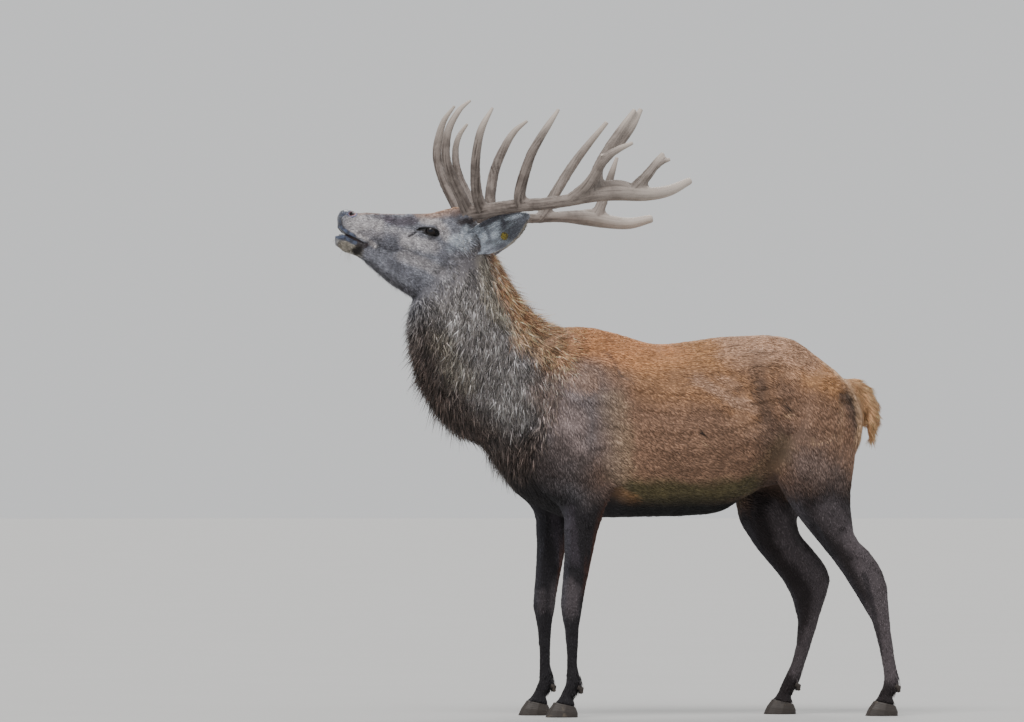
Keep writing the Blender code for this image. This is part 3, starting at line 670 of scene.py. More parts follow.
def gradeSkin(piece):  # large faces on the body, small ones on the head
    mesh = piece.data
    q = inTable(pointsOf(mesh))
    body = (1 - np.maximum(headPart(q), legPart(q))) > 0.5
    group = piece.vertex_groups.new(name="body")
    group.add([int(i) for i in np.flatnonzero(body)], 1, "REPLACE")
    kept = 2 * np.count_nonzero(~body)
    applied(piece, "DECIMATE", ratio=(kept + skin["bodyFaces"] * 2) / (2 * len(q)), vertex_group="body")
    piece.vertex_groups.clear()
    print("skin remeshed", len(mesh.polygons))
    subdivideWhere(piece, lambda c: past("throat", c) > 0)
    subdivideWhere(piece, lambda c: (c[:, 0] < skin["fineFront"]) | nearEye(c, skin["fineEye"]))
    relax(mesh, skin["relaxHead"], headPart(inTable(pointsOf(mesh))))


def sinkSkin(mesh, unworn):  # to its depth under the coat; the thin parts get back the width they lost
    q, facing = inTable(pointsOf(mesh)), normalsOf(mesh)
    target = depthOf(q) + skin["swell"]
    points = pointsOf(mesh) - facing * target[:, None]
    filled = np.maximum(legPart(q), tailPart(q)) * smooth(3, 5, q[:, 2])
    for i in np.flatnonzero(filled):
        place, away, _, _ = unworn.find_nearest(points[i])
        out = (Vector(points[i]) - place).dot(away)
        points[i] -= facing[i] * (target[i] + out) * filled[i]
    setPoints(mesh, points)
    relax(mesh, skin["relaxEnd"], filled)


def shapeMuscles(mesh):
    points, normals = pointsOf(mesh), normalsOf(mesh)
    q, sideways = inTable(points), smooth(0.25, 0.7, np.abs(normals[:, 1]))
    for line, width, height in forms:
        points += normals * (strokeAmount(q, line, width, 0.4) * sideways * height * cm)[:, None]
    setPoints(mesh, points)
    relax(mesh, skin["relaxEnd"])


def makeSkin():
    piece = blockSkin()
    mesh = piece.data
    unworn = treeOf(mesh)
    relax(mesh, skin["relax"])
    gradeSkin(piece)
    sinkSkin(mesh, unworn)
    shapeMuscles(mesh)
    for side in sides:
        boolean(piece, makeEar(side), "UNION")
    boolean(piece, prismPiece("mouth_cut", mouthGap, mouthHalf), "DIFFERENCE")
    print("skin joined", len(mesh.polygons))
    return piece


def nostrilPlace(q):  # along and above the nostril's middle, in its own lengths
    x, _, z = nostril["at"]
    along = q[:, 0] - x
    return along / nostril["long"], (q[:, 2] - z - nostril["slope"] * along) / nostril["high"]


def sculptHead(mesh):
    q, normals = inTable(pointsOf(mesh)), normalsOf(mesh)
    near = np.abs(q[:, 1])
    along, up = nostrilPlace(q)  # a comma-shaped pit with a raised wing round it
    far = np.sqrt(along**2 + up**2 + ((near - nostril["at"][1]) / nostril["wide"]) ** 2)
    pit = smooth(1.05, 0.35, far) * nostril["deep"]
    wing = np.exp(-(((far - nostril["wingAt"]) / nostril["wingWide"]) ** 2)) * nostril["wing"]
    q += normals * ((wing - pit) * (q[:, 0] < nostril["back"]))[:, None]
    # the furrow down the middle of the upper lip
    line = np.exp(-((q[:, 1] / furrow["wide"]) ** 2)) * smooth(*furrow["front"], q[:, 0])
    q[:, 0] += furrow["deep"] * line * smooth(*furrow["bottom"], q[:, 2]) * smooth(*furrow["top"], q[:, 2])
    # the slit in front of the eye
    slit = smooth(tearSlit["wide"] * 1.6, 0.1, lineGap(q, tearSlit["line"]))
    q -= normals * (slit * tearSlit["deep"] * (near > tearSlit["least"]))[:, None]
    setPoints(mesh, inFrame(q))


def lidBow(t):  # the opening's height from the front corner, at 0, to the back one, at 1
    front, back, full = eye["bow"]
    return t**front * (1 - t) ** back * full


def almondHeight(q):  # how far above the line between the corners, and the opening's half height there
    front, back = np.array(eye["front"]), np.array(eye["back"])
    length = np.linalg.norm(back - front)
    axis = (back - front) / length
    flat = q[:, ::2] - front
    t = (flat @ axis / length).clip(0, 1)
    height = flat @ np.array([-axis[1], axis[0]])
    return height, np.where(height > 0, eye["top"], eye["bottom"]) * lidBow(t)


def almondOutline():  # x, z round the opening, from the front corner over the top
    front, back = np.array(eye["front"]), np.array(eye["back"])
    normal = np.array([-(back - front)[1], (back - front)[0]]) / np.linalg.norm(back - front)
    t = (1 - np.cos(np.linspace(0, math.pi, eye["points"] // 2 + 1))) / 2
    bow = lidBow(t)[:, None]
    line = front + t[:, None] * (back - front)
    return np.vstack([line + normal * bow * eye["top"], (line - normal * bow * eye["bottom"])[-2:0:-1]])


def lidGap(q):  # how far a point of the side view is outside the opening between the lids
    gap = lineGap(q, closed(almondOutline()))
    height, limit = almondHeight(q)
    return np.where(np.abs(height) < limit, -gap, gap)


def sideHit(surface, x, z, sign):  # what a ray from the side meets: whether, where and its normal
    return surface.ray_cast(at(x, sign * 20, z), Vector((0, -sign, 0)))[:3]


lidGrid = {"low": (-63.0, 144.0), "step": 0.25, "shape": (64, 40), "smoothing": 3}
lidFolds = [  # how far outside the opening, how wide, how high above the eye and below it
    (0.95, 0.2, 0.12, 0.06),
    (0.62, 0.13, -0.16, -0.07),
    (1.3, 0.1, -0.05, -0.05),
]
lidSink = {"edge": 0.3, "edgeWide": 0.35, "floor": 1.6}  # how far the skin goes under the lids


class LidForm:  # how far out the lids of one eye lie, over the side view
    def __init__(self, side):
        surface = skinPiece.evaluated_get(bpy.context.evaluated_depsgraph_get())
        rows = np.zeros(lidGrid["shape"])
        for i, j in np.ndindex(rows.shape):
            x, z = np.array(lidGrid["low"]) + np.array([i, j]) * lidGrid["step"]
            hit, place, _ = sideHit(surface, x, z, sides[side])
            rows[i, j] = abs((place.y - midline) / cm) if hit else 0
        for _ in range(lidGrid["smoothing"]):
            wide = np.pad(rows, 1, mode="edge")
            rows = (rows * 2 + wide[:-2, 1:-1] + wide[2:, 1:-1] + wide[1:-1, :-2] + wide[1:-1, 2:]) / 6
        self.rows = rows

    def under(self, q):  # the skin without its lids
        rows = self.rows
        spot = ((q[:, ::2] - lidGrid["low"]) / lidGrid["step"]).clip(0, np.array(rows.shape) - 1.01)
        i, j = np.floor(spot).astype(int).T
        u, v = (spot - np.floor(spot)).T
        low = rows[i, j] * (1 - u) + rows[i + 1, j] * u
        return low * (1 - v) + (rows[i, j + 1] * (1 - u) + rows[i + 1, j + 1] * u) * v

    def level(self, q):
        base, gap = self.under(q), lidGap(q)
        x, y, z = eye["at"]
        shell = eye["radius"] + eye["cover"]
        far = np.hypot(q[:, 0] - x, q[:, 2] - z) / shell
        dome = y + shell * np.where(far < 0.8, np.sqrt(1 - far.clip(0, 0.8) ** 2), 0.6 - 1.333 * (far - 0.8))
        over = 0.5 * (base + dome + np.sqrt((base - dome) ** 2 + 0.1))
        blend = smooth(eye["reach"], eye["reach"] * 0.4, gap)
        height, _ = almondHeight(q)
        folds = 0
        for place, wide, above, below in lidFolds:
            folds = folds + np.where(height > 0, above, below) * np.exp(-(((gap - place) / wide) ** 2))
        return base + (over - base) * blend + folds * smooth(eye["reach"], 1.2, gap)


def openLids(mesh):  # the skin sinks under the lids and away from the ball
    q = inTable(pointsOf(mesh))
    close = socketPoints(q)
    near = q[close]
    gap = lidGap(near)
    sunk = lidSink["edge"] * smooth(eye["reach"], eye["reach"] - lidSink["edgeWide"], gap)
    sunk += lidSink["floor"] * smooth(0.25, -0.15, gap)
    for side, form in lidForms.items():
        mine = (gap < eye["reach"]) & (near[:, 1] * sides[side] > 0)
        near[mine, 1] = sides[side] * (form.level(near) - sunk)[mine]
    q[close] = near
    setPoints(mesh, inFrame(q))


skinPiece = makeSkin()
sculptHead(skinPiece.data)
bpy.context.view_layer.update()
lidForms = {side: LidForm(side) for side in sides}
openLids(skinPiece.data)
smoothShade(skinPiece)
bpy.context.view_layer.update()
print("skin shaped", sum(len(face.vertices) - 2 for face in skinPiece.data.polygons), "triangles")
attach(skinPiece, rootBody)
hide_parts(*fleshNodes, "ear_left", "ear_right")


# antlers: stems as x, y, z and radius, the left one's y pointing left and the right one's right
antler = {
    "grain": 0.00322, "relax": 7, "relaxEnd": 4, "spacing": 0.5, "web": 0.55, "groove": 0.06, "pearl": 0.14,
    "burr": 0.2, "burrAt": -41.3, "burrWide": 0.8, "crown": 0.18,
}
antlerStems = {
    "left": {
        "beam": [
            (-43.4, 4.4, 153.6, 2.3), (-41, 5.6, 155.2, 2.5), (-37.6, 10, 155.6, 2.2),
            (-33.7, 15.8, 156.4, 2.1), (-28.4, 21.4, 157.1, 2.05), (-21.8, 26.4, 157.5, 1.9),
            (-14.7, 30, 158.6, 1.95), (-8.2, 32, 160, 2.2), (-1.1, 33, 160.7, 2.4), (8.4, 32, 160.4, 2.1),
            (16, 30, 161.6, 1.75), (22.8, 27.5, 164.6, 1.15),
        ],
        "brow": [
            (-42.2, 5.4, 155.2, 2), (-45.1, 8.5, 160.5, 1.8), (-48.2, 10.5, 166, 1.6),
            (-50.1, 12, 171.2, 1.4), (-50.3, 12.5, 176.2, 1.35), (-49, 12, 181.4, 1.15),
            (-45.7, 10.5, 186.6, 0.85), (-42, 9, 189.6, 0.4),
        ],
        "bez": [
            (-38.1, 9.6, 155.6, 2), (-40.5, 12, 160.5, 1.75), (-41.8, 16, 168.5, 1.5),
            (-41.3, 18, 176.2, 1.3), (-39.9, 18.5, 181.4, 1.1), (-36.6, 17.5, 187.1, 0.45),
        ],
        "trez": [
            (-28.4, 21.4, 157.1, 2.05), (-29.1, 23.6, 161.7, 1.8), (-26.8, 26.5, 171.1, 1.5),
            (-24.2, 27.5, 176.6, 1.3), (-20.6, 27, 182.1, 1), (-17.5, 25.5, 186.4, 0.5),
        ],
        "crown_front": [
            (-14.6, 30, 158.6, 1.95), (-9.8, 34, 163.5, 1.65), (-5.4, 37.5, 170.9, 1.3),
            (-1.4, 38, 173.8, 1.05), (3.2, 38, 175.9, 0.55),
        ],
        "crown_top": [
            (-8.5, 32.2, 160.4, 2), (-6.6, 32.2, 168.2, 1.6), (-2.4, 31.5, 175.3, 1.5),
            (1.8, 30.4, 181.3, 1.2), (5.4, 29.4, 186.2, 0.7),
        ],
        "crown_top_twin": [
            (-6, 31.8, 160.6, 2), (-6, 31.2, 168.4, 1.5), (0.2, 30, 175.5, 1.5), (4.6, 28.8, 181.2, 1.3),
            (7.7, 27.4, 186.4, 0.75),
        ],
        "crown_rear": [
            (4, 32.2, 160.8, 2.2), (9, 31, 166.2, 1.6), (12.4, 30, 170.4, 1.25), (14.2, 29.4, 172.9, 0.7),
        ],
        "crown_rear_twin": [
            (11.2, 30.4, 168.4, 1.05), (13.6, 30.4, 170.2, 0.85), (16.2, 30.7, 171.2, 0.55),
        ],
        "crown_snag": [
            (-5.2, 37.3, 170.6, 0.8), (-5.9, 38.1, 171.4, 0.6), (-6.6, 38.9, 172.3, 0.45),
        ],
    },
    "right": {
        "beam": [
            (-43.4, 4.4, 153, 2.3), (-41, 5.6, 154.2, 2.5), (-37.2, 10, 154.2, 2.1),
            (-31.7, 15.8, 154.7, 1.8), (-24.4, 21.2, 154.6, 1.6), (-17.2, 25.4, 154.2, 1.5),
            (-7.4, 29, 154.8, 1.7), (0.8, 31, 154.6, 2.4), (7.2, 31.5, 153.6, 2.2), (14.9, 31, 152.9, 1.85),
            (21.6, 29.5, 154.3, 1.35),
        ],
        "brow": [
            (-42.2, 5.4, 154.4, 2), (-44.6, 8.5, 159.9, 1.8), (-46.9, 10.5, 164.8, 1.5),
            (-48.5, 12, 170, 1.35), (-48.9, 12.5, 174.6, 1.35), (-48.2, 12.5, 179.3, 1.2),
            (-46.7, 11.5, 184.2, 0.9), (-43.7, 10, 188.6, 0.4),
        ],
        "bez": [
            (-37, 9, 154, 1.9), (-39.3, 12, 160.5, 1.65), (-41.9, 15, 167.9, 1.3),
            (-42.4, 16.5, 174.6, 1.05), (-41.3, 16.5, 179.3, 0.85), (-38.7, 15.5, 183.3, 0.4),
        ],
        "trez": [
            (-29.8, 17, 154.6, 1.8), (-31.2, 18, 159.5, 1.75), (-29.4, 21, 168.5, 1.55),
            (-25.9, 22.5, 176.2, 1.3), (-22.7, 22.5, 181.2, 1), (-18.8, 21.5, 184.5, 0.45),
        ],
        "crown_front": [
            (-14, 26.5, 154.3, 1.6), (-9, 30, 161.4, 1.65), (-2.9, 32, 170.6, 1.45), (2.4, 32, 177.6, 1.15),
            (8, 31, 184.4, 0.7),
        ],
        "crown_top": [
            (4.4, 31.4, 154.4, 2.1), (7.4, 32, 161, 1.45), (9.6, 32, 168, 1.15), (11.4, 31.4, 173.6, 0.5),
        ],
    },
}
palms = {"left": ((-1, 32.4, 161.6), (6.4, 1.7, 3.2)), "right": ((3, 31.3, 155), (6, 1.6, 2.4))}


def stemRuns(side):  # rows of x, y, z and radius along each stem
    runs = []
    for name, rows in antlerStems[side].items():
        run = eased(rows, antler["spacing"])
        run[:, 1] *= sides[side]
        if name == "beam":  # the burr round the root
            off = (run[:, 0] - antler["burrAt"]) / antler["burrWide"]
            run[:, 3] *= 1 + antler["burr"] * np.exp(-(off**2))
        runs.append(run)
    return runs


def blockAntler(side, runs):  # made too thick, then shrunk back, which leaves webs in the forks
    web, bars = antler["web"], []
    for name, run in zip(antlerStems[side], runs):
        wide = rounded(run)
        wide[:, 3] += web
        bars.append(tube(wide, f"stem_{name}"))
    (x, y, z), radii = palms[side]
    bars.append(ballPiece((x, y * sides[side], z), [r + web for r in radii], "palm"))
    piece = joined(bars, f"antler_{side}")
    applied(piece, "REMESH", mode="VOXEL", voxel_size=antler["grain"])
    largestPart(piece)
    mesh = piece.data
    relax(mesh, antler["relax"])
    setPoints(mesh, pointsOf(mesh) - normalsOf(mesh) * web * cm)
    relax(mesh, antler["relaxEnd"])
    return piece


def nearestOf(q, spine, block=4000):  # the row of the spine that is nearest for its own radius
    nearest = np.empty(len(q), int)
    for start in range(0, len(q), block):
        here = q[start : start + block]
        apart = np.linalg.norm(here[:, None] - spine[None, :, :3], axis=2) / (spine[None, :, 3] + 0.2)
        nearest[start : start + block] = apart.argmin(axis=1)
    return nearest


def stepsAlong(run):  # the length from the root to each row
    return np.concatenate([[0], np.cumsum(np.linalg.norm(np.diff(run[:, :3], axis=0), axis=1))])


def grainAntler(mesh, runs):  # grooves along the stems and pearls near their roots
    q, normals = inTable(pointsOf(mesh)), normalsOf(mesh)
    spine = np.vstack(runs)
    nearest = nearestOf(q, spine)
    way = np.vstack([unit(np.gradient(run[:, :3], axis=0)) for run in runs])[nearest]
    gone = np.concatenate([stepsAlong(run) for run in runs])[nearest]
    share = np.concatenate([np.linspace(0, 1, len(run)) for run in runs])[nearest]
    off = q - spine[nearest, :3]
    first = unit(np.cross(way, [0.3, 0.2, 1]))
    second = np.cross(way, first)
    angle = np.arctan2((off * second).sum(1), (off * first).sum(1))
    where = np.column_stack([np.cos(angle) * 3, np.sin(angle) * 3, gone * 0.1])
    groove = softNoise(where * 1.3, 1.0, 3) * 0.4 + softNoise(where * (3, 3, 2.4), 1.0, 9) * 0.6
    tip = smooth(0.55, 1, share)
    pearl = np.maximum(softNoise(q, 0.75, 5), 0) * smooth(1, 0.25, share)
    rise = groove * antler["groove"] * (1 - 0.8 * tip) + pearl * antler["pearl"]
    setPoints(mesh, pointsOf(mesh) + normals * (rise * cm)[:, None])
    store(mesh, "hollow", groove)
    crown = antler["crown"] * smooth(-32, 0, q[:, 0])  # rubbed pale
    store(mesh, "tip", np.maximum(tip, crown))


def makeAntler(side):
    runs = stemRuns(side)
    piece = blockAntler(side, runs)
    grainAntler(piece.data, runs)
    smoothShade(piece)
    nodes = [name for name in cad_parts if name.startswith(f"antler_{side}_")]
    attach(piece, rootBody)
    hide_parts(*nodes)
    return piece


def antlerPaint():
    paint = Paint("antler", Specular_IOR_Level=0.4)
    hollow, tip = paint.attribute("hollow"), paint.attribute("tip")
    fine, cloud, fibre = paint.noise(420, 4, 0.6), paint.noise(22, 4), paint.noise(900, 2)
    dark = paint.step(hollow * -0.9 + fine * 0.8 + cloud * 0.7, 0.45, 1.5)
    colour = paint.mix(dark, linear(124, 114, 108), linear(50, 41, 36))
    colour = paint.mix(paint.step(cloud, 0.42, 0.7, 0, 0.65), colour, linear(70, 61, 56))
    colour = paint.mix(tip * 0.75, colour, linear(192, 180, 169))
    relief = paint.bump(fine * 0.7 + fibre * 0.3, 0.0006, 0.7)
    return paint.wear(Base_Color=colour, Roughness=0.62 - tip * 0.2 + fine * 0.1, Normal=relief)


antlerMaterial = antlerPaint()
for side in sides:
    give(makeAntler(side), antlerMaterial)
print("antlers stand")


# eyes and lids
eyeLook = {
    "facets": (64, 40), "axis": (-0.28, 1, 0.1), "cornea": 0.1, "corneaEdge": 0.55,
    "irisWide": 0.66, "irisSoft": 0.06, "pupil": (0.46, 0.24),
}
lidRings = [  # how far outside the opening and how far raised, from under the ball to the skin
    (-0.26, -0.66), (-0.15, -0.24), (-0.07, -0.04), (0.02, 0.02), (0.12, 0.02),
    *[(0.28 + 0.14 * i, 0) for i in range(9)],
    (1.55, -0.02), (1.7, -0.12),
]
lidBase = {"bed": -0.78, "floor": -1.3, "rounding": 4}  # the corner's bed, the closed piece's floor
bedRings = [(0.75, -0.72), (0.5, -0.78), (0.25, -0.78)]  # share of the opening's width and how far raised


def makeEye(side):
    sign = sides[side]
    x, y, z = eye["at"]
    centre = at(x, y * sign, z)
    around, rings = eyeLook["facets"]
    bpy.ops.mesh.primitive_uv_sphere_add(segments=around, ring_count=rings, radius=eye["radius"] * cm)
    ball = bpy.context.object
    ball.name = f"eyeball_{side}"
    lookX, lookY, lookZ = eyeLook["axis"]
    axis = Vector((lookX, lookY * sign, lookZ)).normalized()
    ball.rotation_euler = axis.to_track_quat("Z", "Y").to_euler()
    ball.location = centre
    bpy.ops.object.transform_apply(location=True, rotation=True, scale=True)
    points = pointsOf(ball.data)
    ray = unit(points - np.array(centre))
    bulge = smooth(eyeLook["corneaEdge"], 1, ray @ np.array(axis)) * eyeLook["cornea"] * cm
    setPoints(ball.data, points + ray * bulge[:, None])
    smoothShade(ball)
    give(ball, eyePaint(side, centre, axis))
    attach(ball, rootBody)
    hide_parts(f"eye_{side}")


def eyePaint(side, centre, axis):
    paint = Paint(
        f"eye_{side}", Roughness=0.3, Specular_IOR_Level=0, Coat_Weight=1, Coat_IOR=1.38, Coat_Roughness=0.07
    )
    ray = paint.add("ShaderNodeVectorMath", {"operation": "SUBTRACT"}, {0: paint.place(), 1: centre})
    up = (Vector((0, 0, 1)) - axis * axis.z).normalized()
    dot, ways = {"operation": "DOT_PRODUCT"}, (up.cross(axis), up)
    radius = eye["radius"] * cm
    wide, high = (paint.add("ShaderNodeVectorMath", dot, {0: ray, 1: way / radius}, "Value") for way in ways)
    edge = eyeLook["irisWide"]
    irisEdge = paint.step((wide * wide + high * high) ** 0.5, edge - eyeLook["irisSoft"], edge)
    a, b = eyeLook["pupil"]
    pupil = paint.step(((wide * (1 / a)) ** 2 + (high * (1 / b)) ** 2) ** 0.5, 0.9, 1.1)
    iris = paint.mix(paint.noise(700, 2), linear(14, 9, 7), linear(34, 21, 14))
    # the pupil is near black with a faint blue: its own dark colour and a painted blue reflection
    colour = paint.mix(pupil, linear(14, 17, 26), iris)
    return paint.wear(Base_Color=paint.mix(irisEdge, colour, linear(8, 6, 6)))


def standing(flat):  # rows of x and z as points of the side view
    return np.column_stack([flat[:, 0], 0 * flat[:, 0], flat[:, 1]])


def lidLoops():  # the corner's bed, then the margin, the folds and the rim: outlines and how far raised
    outline = almondOutline()
    run = np.roll(outline, -1, axis=0) - np.roll(outline, 1, axis=0)
    out = unit(np.column_stack([-run[:, 1], run[:, 0]]))
    for _ in range(lidBase["rounding"]):
        out = unit(out + 0.5 * (np.roll(out, 1, axis=0) + np.roll(out, -1, axis=0)))
    loops = []
    for far, raised in lidRings:
        reach = np.full(len(outline), far)
        if far < 0:  # the corners are too narrow to step inwards by the full width
            _, limit = almondHeight(standing(outline))
            reach = np.maximum(far, -0.5 * np.abs(limit))
        loops.append((outline + out * reach[:, None], raised))
    centre, inner = outline.mean(axis=0), loops[0][0]
    beds = [(centre + (inner - centre) * share, raised) for share, raised in bedRings]
    return beds[::-1] + loops, centre


def makeLids(side):  # a closed piece, with the loops above and a sunk floor below
    sign, form = sides[side], lidForms[side]
    loops, centre = lidLoops()
    count = len(loops[0][0])
    points, faces = [], []
    for flat, raised in loops + [(flat, lidBase["floor"]) for flat, _ in loops[::-1]]:
        levels = form.level(standing(flat))
        points += [(x, sign * (level + raised), z) for (x, z), level in zip(flat, levels)]
    around = [(i, (i + 1) % count) for i in range(count)]
    last = len(points) - count
    for a in range(0, last, count):
        b = a + count
        faces += [(a + i, a + j, b + j, b + i) for i, j in around]
    level = form.level(standing(centre[None]))[0]
    points += [(centre[0], sign * (level + lidBase[end]), centre[1]) for end in ("bed", "floor")]
    faces += [(j, i, len(points) - 2) for i, j in around]
    faces += [(last + i, last + j, len(points) - 1) for i, j in around]
    piece = meshPiece(f"lids_{side}", [at(*p) for p in points], faces)
    editWhole(piece, bpy.ops.mesh.normals_make_consistent, inside=False)
    smoothShade(piece)
    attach(piece, rootBody)
    return piece


whiskers = {  # where they grow, how far the places spread, the way they point, how long and how many
    "chin": ((-79, 143.2), (3.4, 0.9), (-0.25, -1), 3.4, 26),
    "lip": ((-82, 146.6), (0.8, 1.4), (-1, -0.25), 1.9, 16),
    "nose": ((-81, 153.5), (1.2, 1.6), (-1, 0.15), 1.4, 8),
    "brow": ((-56.5, 153.4), (1.6, 0.6), (-0.3, 1), 2.2, 9),
    "cheek": ((-61, 144.8), (2, 0.8), (-0.2, -0.6), 2.4, 6),
}
whiskerHair = {
    "root": 0.028, "tip": 0.008, "rows": 7, "facets": 1, "length": (0.6, 1.15),
    "outward": 0.45, "stray": 0.25, "bend": (0.5, 0, -0.7), "bent": (0.1, 0.4), "seed": 31,
}


def makeWhiskers():
    random = np.random.default_rng(whiskerHair["seed"])
    surface = skinPiece.evaluated_get(bpy.context.evaluated_depsgraph_get())
    steps = np.linspace(0, 1, whiskerHair["rows"])[:, None]
    radii = np.interp(steps[:, 0], [0, 1], [whiskerHair["root"], whiskerHair["tip"]])
    hairs = []
    for (x, z), (wide, high), (leanX, leanZ), long, count in whiskers.values():
        for number in range(count):
            sign = 1 if number % 2 else -1
            rootX, rootZ = x + wide * random.uniform(-0.5, 0.5), z + high * random.uniform(-0.5, 0.5)
            hit, place, normal = sideHit(surface, rootX, rootZ, sign)
            if not hit:
                continue
            root = inTable(np.array(place)[None])[0]
            stray = whiskerHair["stray"] * random.normal(size=3)
            way = unit(np.array([leanX, whiskerHair["outward"] * normal.y, leanZ]) + stray)
            bend = np.array(whiskerHair["bend"]) * random.uniform(*whiskerHair["bent"])
            length = long * random.uniform(*whiskerHair["length"])
            run = root + (way * steps + bend * steps**2) * length
            hairs.append(tube(np.column_stack([run, radii]), "hair", whiskerHair["facets"]))
    piece = joined(hairs, "whiskers")
    smoothShade(piece)
    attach(piece, rootBody)
    return piece


def whiskerPaint():
    paint = Paint("whiskers", Specular_IOR_Level=0.4)
    grain = paint.noise(60, 2)
    colour = paint.mix(grain, linear(150, 148, 142), linear(196, 194, 188))
    return paint.wear(Base_Color=colour, Roughness=0.4 + grain * 0.2)


give(makeWhiskers(), whiskerPaint())

tongue = {
    "rows": [(-73, 145, 0.9), (-75.5, 146.3, 1.2), (-77.8, 147.5, 1.1), (-78.9, 148.1, 0.8)],
    "out": (-1.3, 0, 1.3), "spacing": 0.4, "grain": 0.0016, "relax": 8,
}


def makeTongue():
    bars = []
    for y in tongue["out"]:
        rows = [(x, y, z, radius) for x, z, radius in tongue["rows"]]
        bars.append(roundBar(rows, 1, tongue["spacing"], "bar"))
    piece = joined(bars, "tongue")
    applied(piece, "REMESH", mode="VOXEL", voxel_size=tongue["grain"])
    relax(piece.data, tongue["relax"])
    smoothShade(piece)
    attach(piece, rootBody)
    return piece


def tonguePaint():
    paint = Paint("mouth", Specular_IOR_Level=0.5)
    grain = paint.noise(500, 3)
    colour = paint.mix(grain, linear(30, 20, 24), linear(66, 44, 50))
    return paint.wear(Base_Color=colour, Roughness=0.3 + grain * 0.25, Normal=paint.bump(grain, 0.0008, 0.7))


give(makeTongue(), tonguePaint())


lidPieces = []
for side in sides:
    makeEye(side)
    lidPieces.append(makeLids(side))
print("eyes and lids are in")


# hooves, dewclaws and tag
claw = {"grain": 0.0017, "relax": 5, "ridge": 0.016, "ridges": 11.0, "flare": 0.25}
clawNames = {"hoof": "hooves", "dewclaw": "dewclaws"}
dewclaw = {"shift": 0.45, "shiftLow": 0.55, "low": (9.2, 7.6)}  # how its copy is moved against the pastern


def makeClaws(kind, foot):
    nodes = [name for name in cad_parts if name.startswith(f"{kind}_{foot}_")]
    piece = copyNodes(nodes, f"{clawNames[kind]}_{foot}")
    applied(piece, "REMESH", mode="VOXEL", voxel_size=claw["grain"])
    relax(piece.data, claw["relax"])
    mesh = piece.data
    if kind == "dewclaw":
        points = pointsOf(mesh)
        low = smooth(*dewclaw["low"], points[:, 2] / cm)
        points[:, 0] -= (dewclaw["shift"] + dewclaw["shiftLow"] * low) * cm
        setPoints(mesh, points)
    q, normals = inTable(pointsOf(mesh)), normalsOf(mesh)
    level = q[:, 2] + q[:, 0] * claw["flare"]
    ridge = np.sin(level * claw["ridges"] + softNoise(q, 2.0) * 2) * claw["ridge"]
    ridge += softNoise(q * (1, 1, 0.3), 0.35) * claw["ridge"] * 0.6
    wall = 1 - smooth(0.35, 0.7, np.abs(normals[:, 2]))  # the sole and the top stay smooth
    setPoints(mesh, pointsOf(mesh) + normals * (ridge * wall * cm)[:, None])
    smoothShade(piece)
    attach(piece, rootBody)
    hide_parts(*nodes)
    return piece


def hornPaint():
    paint = Paint("hoof horn", Specular_IOR_Level=0.5)
    lines = paint.noise(60, 4, where=paint.stretch((1, 1, 9)))
    scuff = paint.noise(45, 5, 0.65)
    colour = paint.mix(lines, linear(25, 22, 21), linear(62, 53, 47))
    colour = paint.mix(paint.step(scuff, 0.58, 0.72, 0, 0.6), colour, linear(98, 87, 75))
    relief = paint.bump(lines * 0.6 + scuff * 0.4, 0.0006, 0.8)
    return paint.wear(Base_Color=colour, Roughness=0.42 + scuff * 0.3, Normal=relief)


hornMaterial = hornPaint()
for end in ("fore", "hind"):
    for side in sides:
        for kind in clawNames:
            give(makeClaws(kind, f"{end}_{side}"), hornMaterial)
print("hooves are on")

tag = {  # the first three in centimetres, the steps and the bevel in metres
    "rim": 0.14, "stud": 0.36, "thick": 0.16,
    "dish": -0.0005, "boss": 0.0011, "pin": 0.0011, "hole": -0.0006, "bevel": 0.0003, "facets": 48,
}


def insetAndMove(inset, rise):  # of the face that is selected in edit mode
    bpy.ops.mesh.inset(thickness=inset)
    bpy.ops.mesh.extrude_region_move(TRANSFORM_OT_translate={"value": (0, 0, rise)})


def makeTag():
    points = np.array([list(v.co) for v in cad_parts["ear_tag"].data.vertices])
    centre = (points.max(axis=0) + points.min(axis=0)) / 2
    _, ways = np.linalg.eigh(np.cov((points - points.mean(axis=0)).T))
    normal = Vector(ways[:, 0])
    if normal.y > 0:
        normal.negate()
    radius = np.linalg.norm(points - centre, axis=1).max()
    rim, stud = tag["rim"] * cm, (tag["rim"] + tag["stud"]) * cm
    bpy.ops.mesh.primitive_cylinder_add(
        vertices=tag["facets"], radius=radius, depth=tag["thick"] * cm, end_fill_type="NGON"
    )
    piece = bpy.context.object
    piece.name = "ear_tag_button"
    bpy.ops.object.mode_set(mode="EDIT")
    bpy.ops.mesh.select_mode(type="FACE")
    shape = bmesh.from_edit_mesh(piece.data)
    for face in shape.faces:
        face.select_set(face.normal.z > 0.9)
    bmesh.update_edit_mesh(piece.data)
    insetAndMove(rim, tag["dish"])
    insetAndMove(radius - stud, tag["boss"])
    insetAndMove(tag["pin"], tag["hole"])
    bpy.ops.object.mode_set(mode="OBJECT")
    applied(piece, "BEVEL", width=tag["bevel"], segments=2)
    piece.rotation_euler = normal.to_track_quat("Z", "Y").to_euler()
    piece.location = Vector(centre)
    bpy.ops.object.transform_apply(location=True, rotation=True, scale=True)
    bpy.ops.object.shade_smooth_by_angle(angle=math.radians(40))
    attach(piece, rootBody)
    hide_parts("ear_tag")
    return piece


